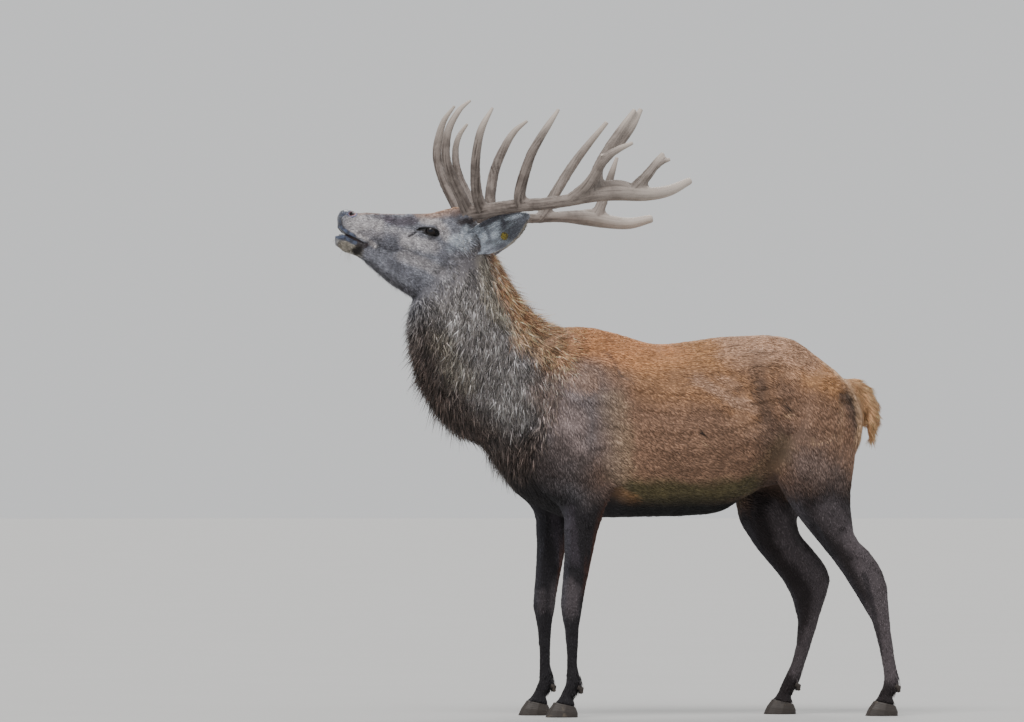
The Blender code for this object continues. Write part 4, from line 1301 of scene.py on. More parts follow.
def tagPaint():
    paint = Paint("tag plastic", Specular_IOR_Level=0.5)
    dirt = paint.noise(170, 5, 0.65)
    fine = paint.noise(900, 3)
    colour = paint.mix(fine, linear(118, 104, 20), linear(148, 132, 36))
    colour = paint.mix(paint.step(dirt, 0.44, 0.58, 0, 0.9), colour, linear(38, 35, 22))
    return paint.wear(Base_Color=colour, Roughness=0.4 + dirt * 0.35, Normal=paint.bump(fine, 0.0002, 0.5))


give(makeTag(), tagPaint())
print("the tag is on")


# markings: brush strokes of colour over the side view, shared by the skin and the coat; some strokes and
# masks are painted shade, painted shadow or painted sheen, as said where they stand
tones = {
    "rose": linear(196, 158, 134), "flank": linear(150, 117, 96), "rufous": linear(188, 138, 94),
    "bright": linear(208, 146, 100), "grey": linear(124, 121, 126), "ash": linear(168, 164, 168),
    "umber": linear(64, 55, 54), "dusk": linear(84, 74, 72), "sand": linear(98, 90, 62),
    "soot": linear(10, 9, 10), "leg": linear(30, 27, 32), "russet": linear(112, 62, 38),
    "buff": linear(214, 176, 142), "tail": linear(224, 176, 132), "nape": linear(214, 162, 128),
    "pale": linear(212, 206, 208), "face": linear(140, 142, 152), "slate": linear(86, 86, 96),
    # the nose and lip tones are dark wet leather, tinted blue by a painted reflection
    "cream": linear(172, 164, 150), "nose": linear(84, 94, 124), "lip": linear(98, 112, 144),
    "pink": linear(168, 128, 132), "mouth": linear(26, 20, 22), "corner": linear(60, 52, 54),
    "lash": linear(13, 10, 11), "ear": linear(142, 150, 160), "glow": linear(216, 228, 244),
    "spot": linear(26, 20, 20), "fawn": linear(178, 150, 122), "plum": linear(92, 84, 94),
    "hock": linear(104, 96, 100), "warm": linear(174, 153, 148),
}
# tone, points (x, z) along the stroke, width and strength
strokes = [
    ("rufous", [(-12, 117), (5, 117), (30, 117), (58, 116), (74, 107)], 10, 0.85),
    ("bright", [(-13, 119), (-2, 117), (8, 113), (18, 113)], 6.5, 0.9),
    ("rufous", [(14, 104), (32, 103), (42, 98)], 8, 0.5),
    ("rose", [(40, 113), (50, 115), (62, 112)], 6, 0.7),
    ("rose", [(26, 104), (32.5, 100.5), (36.5, 97.5), (43, 95.6)], 1.9, 0.75),
    ("rose", [(33, 104.5), (38, 102)], 1.6, 0.45),
    ("rose", [(38, 92), (46, 88)], 3, 0.35),
    # painted shade: the next two dark strokes lie in the flank fold in front of the haunch
    ("umber", [(46.5, 103), (45.6, 99), (48, 93)], 2.2, 0.4),
    ("dusk", [(46, 111), (44.5, 104), (47, 92)], 3, 0.35),
    ("rose", [(51, 112), (57, 106)], 2.6, 0.35),
    ("rose", [(57, 86), (60, 93)], 3.5, 0.3),
    ("dusk", [(-9, 94), (-9, 80)], 3.2, 0.4),
    ("fawn", [(0, 98), (2, 84), (2, 76)], 4, 0.7),
    ("dusk", [(54, 84), (66, 78), (72, 74)], 9, 0.42),
    ("umber", [(73.6, 99.6), (77, 96), (79, 88)], 3.0, 0.65),
    ("soot", [(74.6, 99.8), (77, 96), (78.6, 91)], 1.3, 0.75),
    ("umber", [(71.6, 100), (74.6, 98.8)], 0.8, 0.5),
    ("buff", [(69, 110), (75.5, 105.8), (80, 101.8), (83.4, 97)], 1.2, 0.85),
    ("grey", [(62, 78), (68, 72)], 6, 0.25),
    ("sand", [(6, 69.5), (24, 68), (44, 70.5)], 4.4, 0.95),
    ("soot", [(4, 62.6), (20, 62), (34, 62), (43, 64)], 2.4, 0.97),
    ("sand", [(46, 74), (54, 84)], 4, 0.35),
    ("rufous", [(2, 69), (7, 66)], 2.2, 0.6),
    ("soot", [(53.8, 96.6), (54.5, 95.4)], 0.65, 0.95),
    ("buff", [(53.4, 93.8), (54.8, 93.4), (56, 94.2)], 0.5, 0.8),
    ("soot", [(26.1, 88.6), (26.9, 87.2)], 0.6, 0.9),
    ("buff", [(27, 84.8), (28.2, 83.8)], 0.5, 0.4),
    ("buff", [(62, 85.0), (66, 85.2), (68.4, 86.4), (69.6, 88.2)], 0.4, 0.4),
    # painted shade: two thin dark umber lines along the crease behind the shoulder
    ("umber", [(-2, 113), (0.6, 109.5), (2.4, 105.5)], 0.4, 0.6),
    ("umber", [(2.4, 105.5), (6, 103.6)], 0.4, 0.45),
]
legStrokes = [
    ("hock", [(78, 57), (81, 48), (85, 38), (87, 26), (88, 14)], 4.2, 0.75),
    ("hock", [(68, 64), (76, 56)], 5, 0.45),
    ("hock", [(56, 64), (62, 52), (70, 44), (73.5, 36), (69.5, 26), (65, 14)], 3.2, 0.55),
    ("hock", [(-11.4, 40), (-11.6, 33)], 2.6, 0.6),
    ("hock", [(-16.6, 38), (-16.6, 33)], 1.6, 0.35),
    ("plum", [(-13, 66), (-10.5, 48)], 1.6, 0.35),
    ("leg", [(80, 44), (83.4, 32), (85.6, 20)], 0.9, 0.6),
]
neckStrokes = [
    ("dusk", [(-57, 118), (-56, 108), (-48, 94), (-36, 84)], 8, 0.75),
    ("umber", [(-58, 108), (-52, 97), (-42, 88)], 5.5, 0.8),
    ("ash", [(-52, 136), (-46, 128)], 8, 0.6),
    ("ash", [(-40, 120), (-28, 98)], 6, 0.4),
    ("cream", [(-50, 118), (-44, 106)], 4, 0.3),
    ("cream", [(-37, 139), (-34, 129), (-28, 121), (-20, 113)], 3.2, 0.5),
    ("rufous", [(-24, 121), (-16, 112)], 6, 0.6),
    ("nape", [(-32.2, 142), (-31.8, 136), (-29.4, 130), (-26, 124.8), (-20, 121.6), (-8, 120)], 3.0, 0.97),
    ("rose", [(-17, 109), (-8, 104)], 4, 0.5),
    ("warm", [(-20, 102), (-14, 92), (-13, 86)], 6, 0.7),
    ("dusk", [(-24, 84), (-14, 78), (-6, 74)], 6, 0.85),
    ("umber", [(-28, 80), (-20, 72)], 6, 0.8),
]
headStrokes = [
    ("pale", [(-71.5, 150.4), (-77, 152)], 3.6, 0.75),
    ("pale", [(-66, 149.4), (-60, 147.6)], 1.8, 0.35),
    ("pale", [(-51, 150.6), (-52.6, 152.2), (-56, 152.6)], 1.1, 0.95),
    ("pale", [(-49.5, 148), (-51, 151)], 1.6, 0.6),
    ("pale", [(-62, 146.2), (-54, 145)], 2.2, 0.5),
    ("pale", [(-46, 146), (-44, 143)], 3, 0.35),
    ("plum", [(-70.5, 154.2), (-66.5, 153.2)], 1.0, 0.5),
    ("plum", [(-67, 153.2), (-63, 152.2), (-59.5, 152.6)], 1.5, 0.75),
    ("rose", [(-76, 155), (-69, 155.4), (-62, 155.2)], 0.7, 0.45),
    ("glow", [(-46.5, 145.6), (-42, 147)], 2.8, 0.9),
    ("glow", [(-45, 143.4), (-41, 143)], 1.3, 0.45),
    # painted shadow: a dark slate line below the ear's root, behind the cheek
    ("slate", [(-48.6, 145.2), (-45.6, 142.8), (-43.4, 141)], 0.9, 0.7),
    ("slate", [(-73, 143.4), (-64, 137.6)], 2.6, 0.2),
    ("slate", [(-65, 147.6), (-71, 148)], 1.5, 0.5),
    ("slate", [(-72, 149.4), (-77, 148.2)], 1.0, 0.5),
    ("slate", [(-71, 146.4), (-64, 144.5), (-56, 140)], 1.5, 0.4),
    ("slate", [(-66, 140), (-58, 134)], 1.9, 0.4),
    ("pale", [(-63, 142), (-56, 139.6), (-51, 137)], 1.9, 0.45),
    ("slate", [(-50, 142), (-46, 137)], 2.2, 0.3),
    ("rose", [(-57, 155), (-51, 155.6), (-46, 156)], 2.0, 0.6),
    ("nape", [(-55, 156), (-49, 157), (-45, 158)], 1.3, 0.9),
    ("slate", [(-46.5, 154), (-43, 152.4)], 1.5, 0.5),
    # painted shadow: a dark umber band on the pedicle under the burr
    ("umber", [(-45, 152.2), (-41.4, 153)], 0.9, 0.75),
    ("glow", [(-43, 149.8), (-39.5, 147)], 1.7, 0.85),
    ("slate", [(-57, 129), (-52, 128)], 2, 0.5),
    ("cream", [(-80.5, 145.2), (-77, 143.4)], 2, 0.9),
    ("pale", [(-78, 149.1), (-74.5, 147.4), (-71, 145)], 0.7, 0.8),
    ("umber", [(-76.4, 145.6), (-74.2, 145)], 0.9, 0.8),
    ("spot", [(-77.2, 143.5), (-76, 143.9)], 1.35, 0.97),
]
earStrokes = [  # along the ear from its root, and across it
    ("glow", [(-2, 0), (4.8, 1.2)], 2.7, 1),
    ("glow", [(0, -3.4), (5, -4.2)], 1.5, 0.75),
    ("slate", [(5.9, -1), (6.4, 2.4)], 0.5, 0.75),
    ("glow", [(7.6, -0.8), (9.4, 1.8)], 1.2, 0.85),
    ("slate", [(11.2, 0.2), (12, 2)], 0.8, 0.85),
    ("glow", [(12.8, 2), (17, 1)], 0.7, 0.6),
    ("slate", [(6, 3.7), (12, 4), (18, 2.6)], 0.9, 0.9),
    ("slate", [(12, -3.4), (17.5, -0.5)], 1.6, 0.6),
    ("slate", [(3, -4.4), (9, -4.8)], 0.8, 0.6),
    ("cream", [(3, -5.8), (9, -6.1), (14, -4.6), (18.6, -1.4)], 0.4, 0.9),
]
bareStrokes = [  # wet or naked skin: tone, points, width and the most distance from the midline
    ("nose", [(-79.4, 156.2), (-81.6, 154.8), (-81.8, 154.2)], 1.05, 3.2),
    ("nose", [(-81.8, 154.2), (-82.2, 152.8), (-81.2, 150.6)], 1.05, 2.3),
    ("lip", [(-82.8, 147.9), (-80, 147.3), (-77, 146)], 0.8, 4),
    ("lip", [(-81.2, 150.5), (-79.3, 149.1), (-77.2, 147.9)], 0.55, 4),
]


def plain(tone, q):
    return np.tile(np.array(tones[tone]), (len(q), 1))


def blendTone(colour, tone, amount):
    return colour + (np.array(tones[tone]) - colour) * amount[:, None]


def brushed(colour, q, table, rough=1.0, share=1.0):  # a table's strokes over a colour
    for tone, line, width, strength in table:
        colour = blendTone(colour, tone, strokeAmount(q, line, width, rough) * strength * share)
    return colour


def neckColour(q, normals):
    colour = brushed(plain("grey", q), q, neckStrokes)
    front = smooth(-0.2, -0.85, normals[:, 0]) * smooth(122, 104, q[:, 2])
    return blendTone(colour, "dusk", front * 0.6)


def headColour(q, normals):
    colour = brushed(plain("face", q), q, headStrokes, 0.6)
    # painted shade: the faces under the jaw that look down are darkened with umber
    under = smooth(-0.35, -0.8, normals[:, 2]) * smooth(-78, -70, q[:, 0])
    return blendTone(colour, "umber", under * 0.5)


def earColour(q, normals, ear):
    colour = plain("face", q) * 0.9
    inner = earInside(q, normals)
    for side in sides:
        mine = ear * (q[:, 1] * sides[side] > 0) > 0
        place = earPlace(q[mine], side)
        hollow = brushed(plain("ear", place), place, earStrokes, 0.8)
        streak = smooth(0, 0.7, softNoise(place * (0.35, 1, 1.5), 0.9, 11))
        hollow = blendTone(hollow, "slate", streak * 0.45)
        colour[mine] += (hollow - colour[mine]) * inner[mine, None]
    return colour


def paintLegs(colour, q, normals):
    noisy = q[:, 2] + softNoise(q, 4) * 2
    leg = np.maximum(legPart(q), smooth(76, 62, noisy) * smooth(8, 0, q[:, 0]))
    leg = np.maximum(leg, smooth(80, 65, noisy) * smooth(44, 50, q[:, 0]))
    colour = brushed(blendTone(colour, "leg", leg * 0.97), q, legStrokes, share=leg)
    # painted shade: the brisket's underside, between the forelegs, is darkened where it faces down
    brisket = smooth(-0.1, -0.7, normals[:, 2]) * smooth(86, 72, q[:, 2]) * smooth(4, -8, q[:, 0])
    colour = blendTone(colour, "soot", brisket * (1 - legPart(q)) * 0.8)
    rear = smooth(0.35, 0.9, normals[:, 0]) * smooth(74, 68, q[:, 2]) * smooth(34, 44, q[:, 2])
    colour = blendTone(colour, "russet", rear * smooth(10, 6, q[:, 0]) * 0.45)
    # painted sheen: the forward faces of the legs above the pasterns get a pale slate sheen
    paintedSheen = smooth(0.3, 0.9, -normals[:, 0]) * smooth(20, 40, q[:, 2])
    return blendTone(colour, "slate", paintedSheen * leg * 0.35)


def paintRump(colour, q, normals):
    tail = tailPart(q)
    colour = blendTone(colour, "tail", tail)
    patch = smooth(0.35, 0.65, normals[:, 0]) * smooth(11, 7, np.abs(q[:, 1]))
    patch = np.maximum(patch, smooth(0.42, 0.8, normals[:, 0]) * smooth(82, 88, q[:, 2]))
    patch = patch * smooth(68, 74, q[:, 0]) * smooth(76, 86, q[:, 2])
    return blendTone(colour, "buff", patch * (1 - tail) * 0.9)


def markingsWithPaintedLight(q, normals):  # the colour at points in centimetres
    colour = brushed(plain("flank", q), q, strokes)
    # the belly's own dark hair, and painted shade: the faces that look down turn soot-dark
    belly = smooth(-0.35, -0.8, normals[:, 2]) * smooth(70, 64, q[:, 2]) * smooth(-8, 2, q[:, 0])
    colour = blendTone(colour, "soot", belly)
    neck = smooth(-7, 9, past("shoulder", q))
    neck = np.maximum(neck, smooth(8, -14, q[:, 0]) * smooth(114, 106, q[:, 2]))
    colour += (neckColour(q, normals) - colour) * neck[:, None]
    colour = paintRump(paintLegs(colour, q, normals), q, normals)
    head, ear = headPart(q), earPart(q)
    colour += (headColour(q, normals) - colour) * head[:, None]
    colour += (earColour(q, normals, ear) - colour) * ear[:, None]
    mottle = 1 + (0.06 * softNoise(q, 7, 2) + 0.07 * softNoise(q, 2.2, 6)) * (1 - 0.5 * head)
    return colour * mottle[:, None]


earLooks = {"left": (-0.35, -0.85, -0.4), "right": (-0.35, 0.85, -0.2)}  # the ways that the hollows face


def earInside(q, normals):
    inside = np.zeros(len(q))
    for side, look in earLooks.items():
        facing = smooth(0.0, 0.45, normals @ unit(np.array(look)))
        inside = np.where(q[:, 1] * sides[side] > 0, facing, inside)
    return inside


def noseParts(q):  # the nostril's rim, its pink wall and its hole, and the pad between the nostrils
    along, up = nostrilPlace(q)
    pit = np.sqrt(along**2 + up**2)
    front = (q[:, 0] < -74) * (np.abs(q[:, 1]) > 0.8)
    rim = smooth(1.75, 1.45, pit + 0.25 * smooth(-79, -76, q[:, 0])) * front * (q[:, 2] > 153.4)
    wall, hole = smooth(1.1, 0.8, pit), smooth(0.85, 0.55, pit) * front
    pad = smooth(-80, -81, q[:, 0]) * smooth(153.5, 154.6, q[:, 2])
    return rim, wall, hole, pad, front


def lidEdge(q):  # how far outside the opening, near the eyes, and how far above its middle line
    gap = np.full(len(q), 9.0)
    close = nearEye(q, 6)
    gap[close] = lidGap(q[close])
    height, _ = almondHeight(q)
    return gap, height


def bareness(q):  # how naked the skin is, and its tone
    amount, tone = np.zeros(len(q)), plain("mouth", q)
    for name, line, width, most in bareStrokes:
        here = strokeAmount(q, line, width, 0.3) * (np.abs(q[:, 1]) <= most)
        tone = blendTone(tone, name, here)
        amount = np.maximum(amount, here)
    rim, wall, hole, pad, front = noseParts(q)
    # the nostril's rim takes the nose tone, with its painted blue reflection
    tone = blendTone(tone, "nose", rim)
    tone = blendTone(tone, "pink", wall * front)
    # painted shade: the bottom of each nostril's pit is painted near black
    tone = blendTone(tone, "mouth", hole)
    tone = blendTone(tone, "nose", pad * (1 - wall))
    crinkle = softNoise(q, 0.3, 4) * 0.5 + softNoise(q, 0.75, 2) * 0.5
    tone = tone * (1 + 0.55 * crinkle)[:, None]
    inside = mouthInside(q)
    tone = blendTone(tone, "mouth", inside)
    slit = strokeAmount(q, tearSlit["line"], tearSlit["wide"], 0.2) * (np.abs(q[:, 1]) > tearSlit["least"])
    tone = blendTone(tone, "mouth", slit)
    gap, height = lidEdge(q)
    lidded = smooth(np.where(height > 0, 0.36, 0.26), 0.1, gap)
    tone = blendTone(tone, "lash", lidded)
    tone = blendTone(tone, "corner", smooth(-0.25, -0.5, gap) * smooth(0.5, -0.1, height))
    nose = np.maximum.reduce([hole, rim, pad])
    return np.clip(amount + nose + inside + slit + lidded, 0, 1), tone


def mouthInside(q):  # within the opening of the mouth, or close to its edge
    outline = closed(mouthGap)
    inside = np.zeros(len(q), bool)
    x, z = q[:, 0], q[:, 2]
    for (ax, az), (bx, bz) in zip(outline[:-1], outline[1:]):
        crosses = (az > z) != (bz > z)
        inside ^= crosses & (x < (bx - ax) * (z - az) / (bz - az + 1e-12) + ax)
    return np.maximum(inside, smooth(0.16, 0.04, lineGap(q, outline)))


def colourSkin(mesh):
    q, normals = inTable(pointsOf(mesh)), normalsOf(mesh)
    shade = 0.72 + 0.2 * legPart(q)  # the down between the tufts lies in their shade
    colour = markingsWithPaintedLight(q, normals) * shade[:, None]
    bare, tone = bareness(q)
    colour += (tone - colour) * bare[:, None]
    gap, _ = lidEdge(q)
    wet = [strokeAmount(q, line, width, 0.3) for _, line, width, _ in bareStrokes]
    wet += [mouthInside(q), (gap < 0.1) * 0.7]
    # the skin's markings with their painted shade, sheen and reflection, for the hide's material
    store(mesh, "marking", colour, "FLOAT_COLOR")
    store(mesh, "bare", bare)
    store(mesh, "wet", np.maximum.reduce(wet))


def hidePaint():
    paint = Paint("hide", Specular_IOR_Level=0.35, Coat_Roughness=0.12)
    white = linear(255, 255, 255)
    marking = paint.attribute("marking", "Color")
    bare, wet = paint.attribute("bare"), paint.attribute("wet")
    fine, pores, broad = paint.noise(650, 4, 0.65), paint.noise(1300, 2), paint.noise(90, 3)
    hair = paint.mix(paint.step(fine, 0.3, 0.75), linear(120, 112, 108), white)
    colour = paint.mix((1 - bare) * 0.8, marking, hair, "MULTIPLY")
    leather = paint.mix(paint.step(pores, 0.4, 0.7), linear(205, 205, 205), white)
    colour = paint.mix(bare * 0.7, colour, leather, "MULTIPLY")
    cells = {"Vector": paint.place(), "Scale": 420}
    edges = paint.add("ShaderNodeTexVoronoi", {"feature": "DISTANCE_TO_EDGE"}, cells, "Distance")
    pebbles = paint.step(edges, 0.02, 0.3)
    stain = paint.mix(paint.step(broad, 0.38, 0.62), linear(120, 112, 118), white)
    colour = paint.mix(wet * 0.9, colour, stain, "MULTIPLY")
    # painted shade: the lines between the pebbles of the wet leather are darkened
    colour = paint.mix(wet * (1 - pebbles) * 0.7, colour, linear(20, 20, 26))
    rough = 0.85 - bare * 0.3 - wet * 0.3 + pores * 0.06
    down = paint.bump(fine * (1 - bare * 0.7) + pores * 0.35 + pebbles * wet * 0.8, 0.0012, 0.8)
    return paint.wear(Base_Color=colour, Roughness=rough, Coat_Weight=wet * 0.6, Normal=down)


hideMaterial = hidePaint()
for piece in (skinPiece, *lidPieces):
    colourSkin(piece.data)
    give(piece, hideMaterial)
print("skin is marked")


# an unwrap of the skin's own shape, for the places of the tufts' patches
def unwrapSkin():
    editWhole(skinPiece, bpy.ops.uv.smart_project, angle_limit=math.radians(70), island_margin=0.001)


class Ground:  # the skin's triangles, for the roots of the tufts
    def __init__(self, piece):
        mesh = piece.data
        mesh.calc_loop_triangles()
        self.verts = valuesOf(mesh.loop_triangles, "vertices", 3, np.int32)
        self.loops = valuesOf(mesh.loop_triangles, "loops", 3, np.int32)
        self.points, self.normals = inTable(pointsOf(mesh)), normalsOf(mesh)
        self.uv = valuesOf(mesh.uv_layers.active.data, "uv", 2)
        a, b, c = (self.points[self.verts[:, i]] for i in range(3))
        self.area = np.linalg.norm(np.cross(b - a, c - a), axis=1) / 2
        self.centre = (a + b + c) / 3

    def roots(self, count, weight, random):  # places drawn by area and weight
        share = np.cumsum(self.area * weight)
        chosen = np.searchsorted(share, random.random(count) * share[-1])
        u, v = random.random(count), random.random(count)
        over = u + v > 1
        u[over], v[over] = 1 - u[over], 1 - v[over]
        part = np.column_stack([1 - u - v, u, v])[:, :, None]
        point = (self.points[self.verts[chosen]] * part).sum(axis=1)
        normal = unit((self.normals[self.verts[chosen]] * part).sum(axis=1))
        uv = (self.uv[self.loops[chosen]] * part).sum(axis=1)
        return point, normal, uv


# the lie of the coat: which way it is combed at places over the side view, as x, z, way x, way z
comb = np.array([
    (-81, 152, 0.6, 0.3), (-76, 150, 1, -0.1), (-70, 151, 1, 0), (-62, 152, 1, 0.05), (-66, 145, 1, -0.25),
    (-78, 144, 0.9, -0.5), (-70, 140, 1, -0.45), (-60, 138, 1, -0.4), (-52, 154, 1, 0.1),
    (-46, 155, 0.9, 0.1), (-48, 146, 0.9, -0.3), (-50, 138, 0.8, -0.7), (-42, 148, 0.8, -0.4),
    (-43, 140, 0.5, -0.9), (-56, 131, 0.7, -0.8), (-50, 130, 0.1, -1), (-42, 130, -0.1, -1),
    (-36, 140, 0.3, -1), (-57, 122, -0.15, -1), (-48, 120, -0.3, -1), (-36, 126, 0, -1),
    (-58, 112, -0.1, -1), (-48, 108, -0.25, -1), (-36, 112, -0.15, -1), (-27, 126, 0.45, -1),
    (-52, 98, 0.15, -1), (-42, 96, 0, -1), (-30, 100, 0, -1), (-42, 86, 0.4, -1), (-20, 121, 0.9, -0.6),
    (-12, 118, 1, -0.35), (-20, 110, 0.35, -1), (-14, 100, 0.3, -1), (-24, 90, 0.1, -1), (-14, 88, 0.3, -1),
    (-26, 76, 0.5, -1), (-10, 76, 0.3, -1), (0, 116, 1, -0.25), (20, 113, 1, -0.3), (45, 115, 1, -0.25),
    (-4, 98, 0.6, -0.85), (8, 96, 0.8, -0.7), (28, 96, 0.85, -0.6), (45, 96, 0.85, -0.6),
    (8, 80, 0.85, -0.55), (28, 80, 0.9, -0.45), (46, 80, 0.8, -0.6), (6, 66, 1, -0.1), (30, 63, 1, 0),
    (48, 68, 0.9, -0.2), (60, 113, 0.85, -0.5), (60, 98, 0.6, -0.85), (60, 82, 0.4, -1),
    (72, 104, 0.7, -0.8), (74, 94, 0.35, -1), (70, 78, 0.15, -1), (80, 88, 0, -1), (-10, 60, 0.1, -1),
    (-9, 40, 0, -1), (-11, 20, 0, -1), (-14, 5, -0.3, -1), (60, 62, 0.4, -1), (72, 60, 0.35, -1),
    (80, 44, 0.4, -1), (66, 46, 0.3, -1), (86, 22, 0.1, -1), (66, 22, -0.1, -1), (80, 103, 0.95, -0.35),
    (86, 97, 0.75, -0.75), (86, 88, 0.3, -1),
])


def onto(normals, ways):  # the part of each way that lies on the surface
    return ways - (ways * normals).sum(axis=1)[:, None] * normals


def lieOf(q, normals):
    apart = ((q[:, None, 0] - comb[None, :, 0]) ** 2 + (q[:, None, 2] - comb[None, :, 1]) ** 2 + 4) ** -1.6
    lie = standing(apart @ comb[:, 2:] / apart.sum(axis=1)[:, None])
    ear = earPart(q)
    for name, (root, tip) in earAxes.items():
        axis = unit(np.array(tip, float) - np.array(root))
        mine = (ear * (q[:, 1] * sides[name] > 0))[:, None]
        lie = lie * (1 - mine) + axis * mine
    lie = onto(normals, lie)
    weak = np.linalg.norm(lie, axis=1) < 0.15
    lie[weak] += np.array([0.3, 0, -0.2])
    return unit(onto(normals, lie))


# tufts: each has its root, three points at its waist and its tip
tuft = {"waist": 0.4, "points": 5, "patch": 0.003, "across": 0.3}  # its patch is measured on the unwrap
tuftFar = np.array([0, tuft["waist"], tuft["waist"], tuft["waist"], 1.0])
tuftFaces = [(0, 2, 1), (0, 1, 3), (0, 3, 2), (1, 2, 4), (2, 3, 4), (3, 1, 4)]


def tuftPlaces(roots, normals, lie, look, random):  # the points of each tuft
    count, waist = len(roots), tuft["waist"]
    spread = random.normal(size=(4, count))
    growth, shag = look["hair"](roots, normals)
    length = look["length"] * cm * (1 + look["uneven"] * spread[0].clip(-2, 2)) * growth
    wide = look["width"] * cm * (1 + 0.25 * spread[1].clip(-2, 2)) * growth**0.7 / 2
    thick = wide * look["flat"]
    side = np.cross(normals, lie)
    turned = unit(lie + side * (look["stray"] * spread[2])[:, None])
    side = unit(np.cross(normals, turned))
    rise = (look["rise"] + look["riseUneven"] * np.abs(spread[3])) * (0.5 + 0.5 * growth)
    rise = rise * (1 + shag * (0.9 + 0.9 * spread[3].clip(0, 2)))
    fall = look["fall"] * (1 - 0.5 * shag.clip(0, 1))
    base = inFrame(roots) - normals * (look["sunk"] * cm * growth)[:, None]
    lift = rise * (1 - fall * waist)
    middle = base + (turned * waist + normals * (lift * waist)[:, None]) * length[:, None]
    sway = side * (look["sway"] * random.normal(size=count) * length)[:, None]
    tip = base + (turned + normals * (rise * (1 - fall))[:, None]) * length[:, None] + sway
    wings = side * wide[:, None]
    return np.stack([base, middle - wings, middle + wings, middle + normals * thick[:, None], tip], axis=1)


def tuftMesh(name, places, uv):
    count = len(places)
    faces = (np.array(tuftFaces)[None] + (np.arange(count) * tuft["points"])[:, None, None]).reshape(-1, 3)
    mesh = bpy.data.meshes.new(name)
    mesh.vertices.add(count * tuft["points"])
    mesh.vertices.foreach_set("co", places.astype(np.float32).ravel())
    mesh.loops.add(len(faces) * 3)
    mesh.loops.foreach_set("vertex_index", faces.astype(np.int32).ravel())
    mesh.polygons.add(len(faces))
    mesh.polygons.foreach_set("loop_start", np.arange(0, len(faces) * 3, 3, dtype=np.int32))
    mesh.polygons.foreach_set("use_smooth", np.ones(len(faces), bool))
    across = np.array([0, -tuft["across"], tuft["across"], 0, 0])
    spots = np.column_stack([tuftFar, across + 0.5]) * tuft["patch"]
    corner = np.clip(uv, 0, 1 - tuft["patch"])[:, None] + spots[None]
    layer = mesh.uv_layers.new(name="OFBake")
    layer.data.foreach_set("uv", corner.reshape(-1, 2)[faces.ravel()].astype(np.float32).ravel())
    mesh.update()
    mesh.validate()
    return mesh


def growTufts(name, roots, normals, uv, colour, look, random):
    mesh = tuftMesh(name, tuftPlaces(roots, normals, lieOf(roots, normals), look, random), uv)
    # darker at the root and paler at the tip: painted shade deep in the coat, together with the hairs' own
    # paler tips; the colour also carries the markings' painted shade and sheen
    shade = np.interp(tuftFar, [0, 0.45, 1], look["shade"])
    tipped = 1 + tuftFar[:, None] * (np.array(look["tip"]) - 1)
    tint = colour[:, None, :] * (shade[:, None] * tipped)[None]
    store(mesh, "marking", np.clip(tint.reshape(-1, 3), 0, 1), "FLOAT_COLOR")
    piece = bpy.data.objects.new(name, mesh)
    bpy.context.scene.collection.objects.link(piece)
    give(piece, coatMaterial)
    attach(piece, rootBody)
    return len(mesh.polygons)


def coatPaint():
    paint = Paint("coat", Specular_IOR_Level=0.35)
    marking = paint.attribute("marking", "Color")
    fine = paint.noise(500, 2)
    dim = paint.mix(paint.step(fine, 0.35, 0.7), linear(214, 210, 206), linear(255, 255, 255))
    return paint.wear(Base_Color=paint.mix(0.6, marking, dim, "MULTIPLY"), Roughness=0.55 + fine * 0.2)


coatMaterial = coatPaint()


def growthOf(q):  # how long the mane is here against its own full length
    below = -past("throat", q)
    crest = smooth(5, 0, np.abs(q[:, 1])) * smooth(112, 122, q[:, 2])
    length = np.maximum(0.64 * smooth(-2, 14, below), 0.5 * smooth(134, 125, q[:, 2]))
    growth = (0.36 + length) * (1 - 0.2 * crest) * (1 - 0.4 * smooth(-26, -8, q[:, 0]))
    for side in sides:
        root, axis, along = besideEar(q, side)
        off = np.linalg.norm(q - root - along.clip(-0.1, 1)[:, None] * axis, axis=1)
        growth = np.minimum(growth, 0.22 + 0.78 * smooth(4.5, 8.5, off))
    return growth


def shagOf(q, normals):  # where the mane stands out: along the throat, the brisket and the crest
    throat = smooth(0.25, 0.8, -normals[:, 0]) * smooth(140, 132, q[:, 2]) * smooth(70, 80, q[:, 2])
    crest = smooth(0.35, 0.8, normals[:, 0] + 0.4 * normals[:, 2]) * smooth(112, 120, q[:, 2])
    return np.maximum(throat * 1.3, crest)


def maneHair(q, normals):  # how long the tufts are, and how far they stand out
    return growthOf(q), shagOf(q, normals)


def jawHair(q, normals):
    fringe = smooth(0.35, 0.85, -normals[:, 2]) * smooth(-78, -73, q[:, 0]) * smooth(147.5, 145, q[:, 2])
    return 1 + 0.8 * fringe, 0.9 * fringe


def legHair(q, normals):
    feather = smooth(0.1, 0.7, normals[:, 0]) * smooth(17, 12, q[:, 2]) * smooth(5, 8, q[:, 2])
    return 1 + 0.9 * feather, 0.5 * feather


def evenHair(q, normals):
    return np.ones(len(q)), np.zeros(len(q))


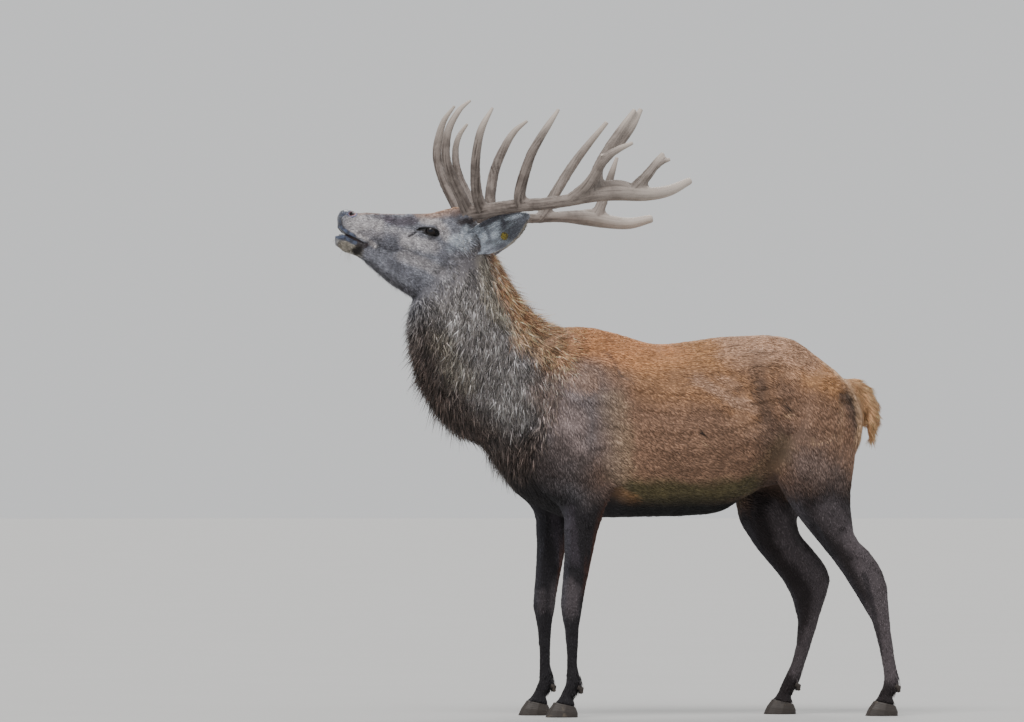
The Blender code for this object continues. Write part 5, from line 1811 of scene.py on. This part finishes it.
flat = {  # what the kinds of tufts share, unless they say otherwise
    "flat": 0.45, "sunk": 0.12, "fall": 0.75, "sway": 0.05, "stray": 0.14, "uneven": 0.18, "rise": 0.16,
    "riseUneven": 0.06, "strands": (2.2, 0.5, 0.12), "tip": (1, 1, 1), "hair": evenHair,
    "pieces": 1,
}
coatSeed = 100
coat = {
    "trunk": {
        **flat, "count": 33000, "pieces": 2, "length": 2.5, "width": 0.36, "vary": 0.18,
        "shade": (0.55, 0.95, 1.15),
    },
    "neck": {
        **flat, "count": 33000, "pieces": 2, "length": 3.9, "width": 0.29, "vary": 0.68, "hair": maneHair,
        "rise": 0.24, "riseUneven": 0.08, "fall": 0.55, "stray": 0.24, "uneven": 0.28, "sway": 0.1,
        "sunk": 0.3, "shade": (0.17, 0.64, 1.6), "tip": (1.04, 1.0, 0.88), "strands": (0.5, 0.22, 0.7),
    },
    "head": {
        **flat, "count": 33000, "pieces": 2, "length": 1.0, "width": 0.125, "vary": 0.42, "hair": jawHair,
        "rise": 0.15, "riseUneven": 0.07, "sunk": 0.05, "shade": (0.42, 0.88, 1.45),
        "strands": (0.5, 0.35, 0.25), "slot": "face",
    },
    "leg": {
        **flat, "count": 22000, "length": 1.5, "width": 0.26, "vary": 0.26, "hair": legHair, "slot": "leg",
        "rise": 0.1, "riseUneven": 0.05, "sunk": 0.06, "shade": (0.6, 0.95, 1.15),
    },
    "ear": {
        **flat, "count": 14000, "length": 0.9, "width": 0.12, "shade": (0.6, 0.95, 1.2), "vary": 0.28,
        "rise": 0.12, "riseUneven": 0.04, "sunk": 0.03,
    },
    "tail": {
        **flat, "count": 8000, "length": 4.2, "width": 0.24, "shade": (0.5, 0.9, 1.35), "vary": 0.25,
        "rise": 0.26, "riseUneven": 0.05, "sunk": 0.15,
    },
}
lipLine = {"front": -79.2, "at": 149, "half": 1.8}  # between the lips no tufts grow


def onLids(points, normals):  # lifts the roots round the eyes onto the lids
    move = 0.05  # for the lids' slope
    close = socketPoints(points)
    close = close[lidGap(points[close]) < eye["reach"]]
    near = points[close]
    for side, form in lidForms.items():
        mine = near[:, 1] * sides[side] > 0
        level = form.level(near)
        slopes = [(form.level(near + np.array(way)) - level) / move for way in ((move, 0, 0), (0, 0, move))]
        facing = unit(np.column_stack([-slopes[0], np.full(len(near), sides[side]), -slopes[1]]))
        near[mine, 1] = sides[side] * level[mine]
        normals[close[mine]] = facing[mine]
    points[close] = near


def rootWeights(centre):  # how thickly each kind of tuft grows on each triangle
    bare, _ = bareness(centre)
    clear = 1 - smooth(0.2, 0.5, bare)
    clear[(centre[:, 0] < lipLine["front"]) & (np.abs(centre[:, 2] - lipLine["at"]) < lipLine["half"])] = 0
    ear = earPart(centre)
    neck, head, leg, tail = (partOf(centre) for partOf in zones.values())
    weights = {
        "ear": ear,
        "head": head * (1 - ear),
        "neck": neck * (1 - ear) * (1.9 - 0.9 * growthOf(centre)),
        "leg": leg * (1 - head) * smooth(1.2, 2.2, centre[:, 2]),
        "tail": tail,
        "trunk": 1 - np.maximum.reduce([ear, head, neck, leg, tail]),
    }
    return {name: weight * clear for name, weight in weights.items()}


def growCoat():
    ground = Ground(skinPiece)
    weights = rootWeights(ground.centre)
    total = 0
    for number, (name, look) in enumerate(coat.items()):
        for part in range(look["pieces"]):
            random = np.random.default_rng(coatSeed + number * 10 + part)
            points, normals, uv = ground.roots(look["count"], weights[name], random)
            onLids(points, normals)
            vary = random.normal(size=len(points)) + 0.6 * softNoise(points * (1, 1, 0.5), 0.7, 8)
            size, stretch, strength = look["strands"]
            along = points * (1, 1, stretch)
            strands = softNoise(along, size, 5) + 0.7 * softNoise(along, size * 2.4, 9)
            tint = np.exp(look["vary"] * vary.clip(-2.2, 2.2) + strength * strands)
            colour = markingsWithPaintedLight(points, normals) * tint[:, None]
            total += growTufts(f"coat_{name}_{part + 1}", points, normals, uv, colour, look, random)
    print("coat", total, "triangles")


unwrapSkin()
print("skin is unwrapped")
growCoat()
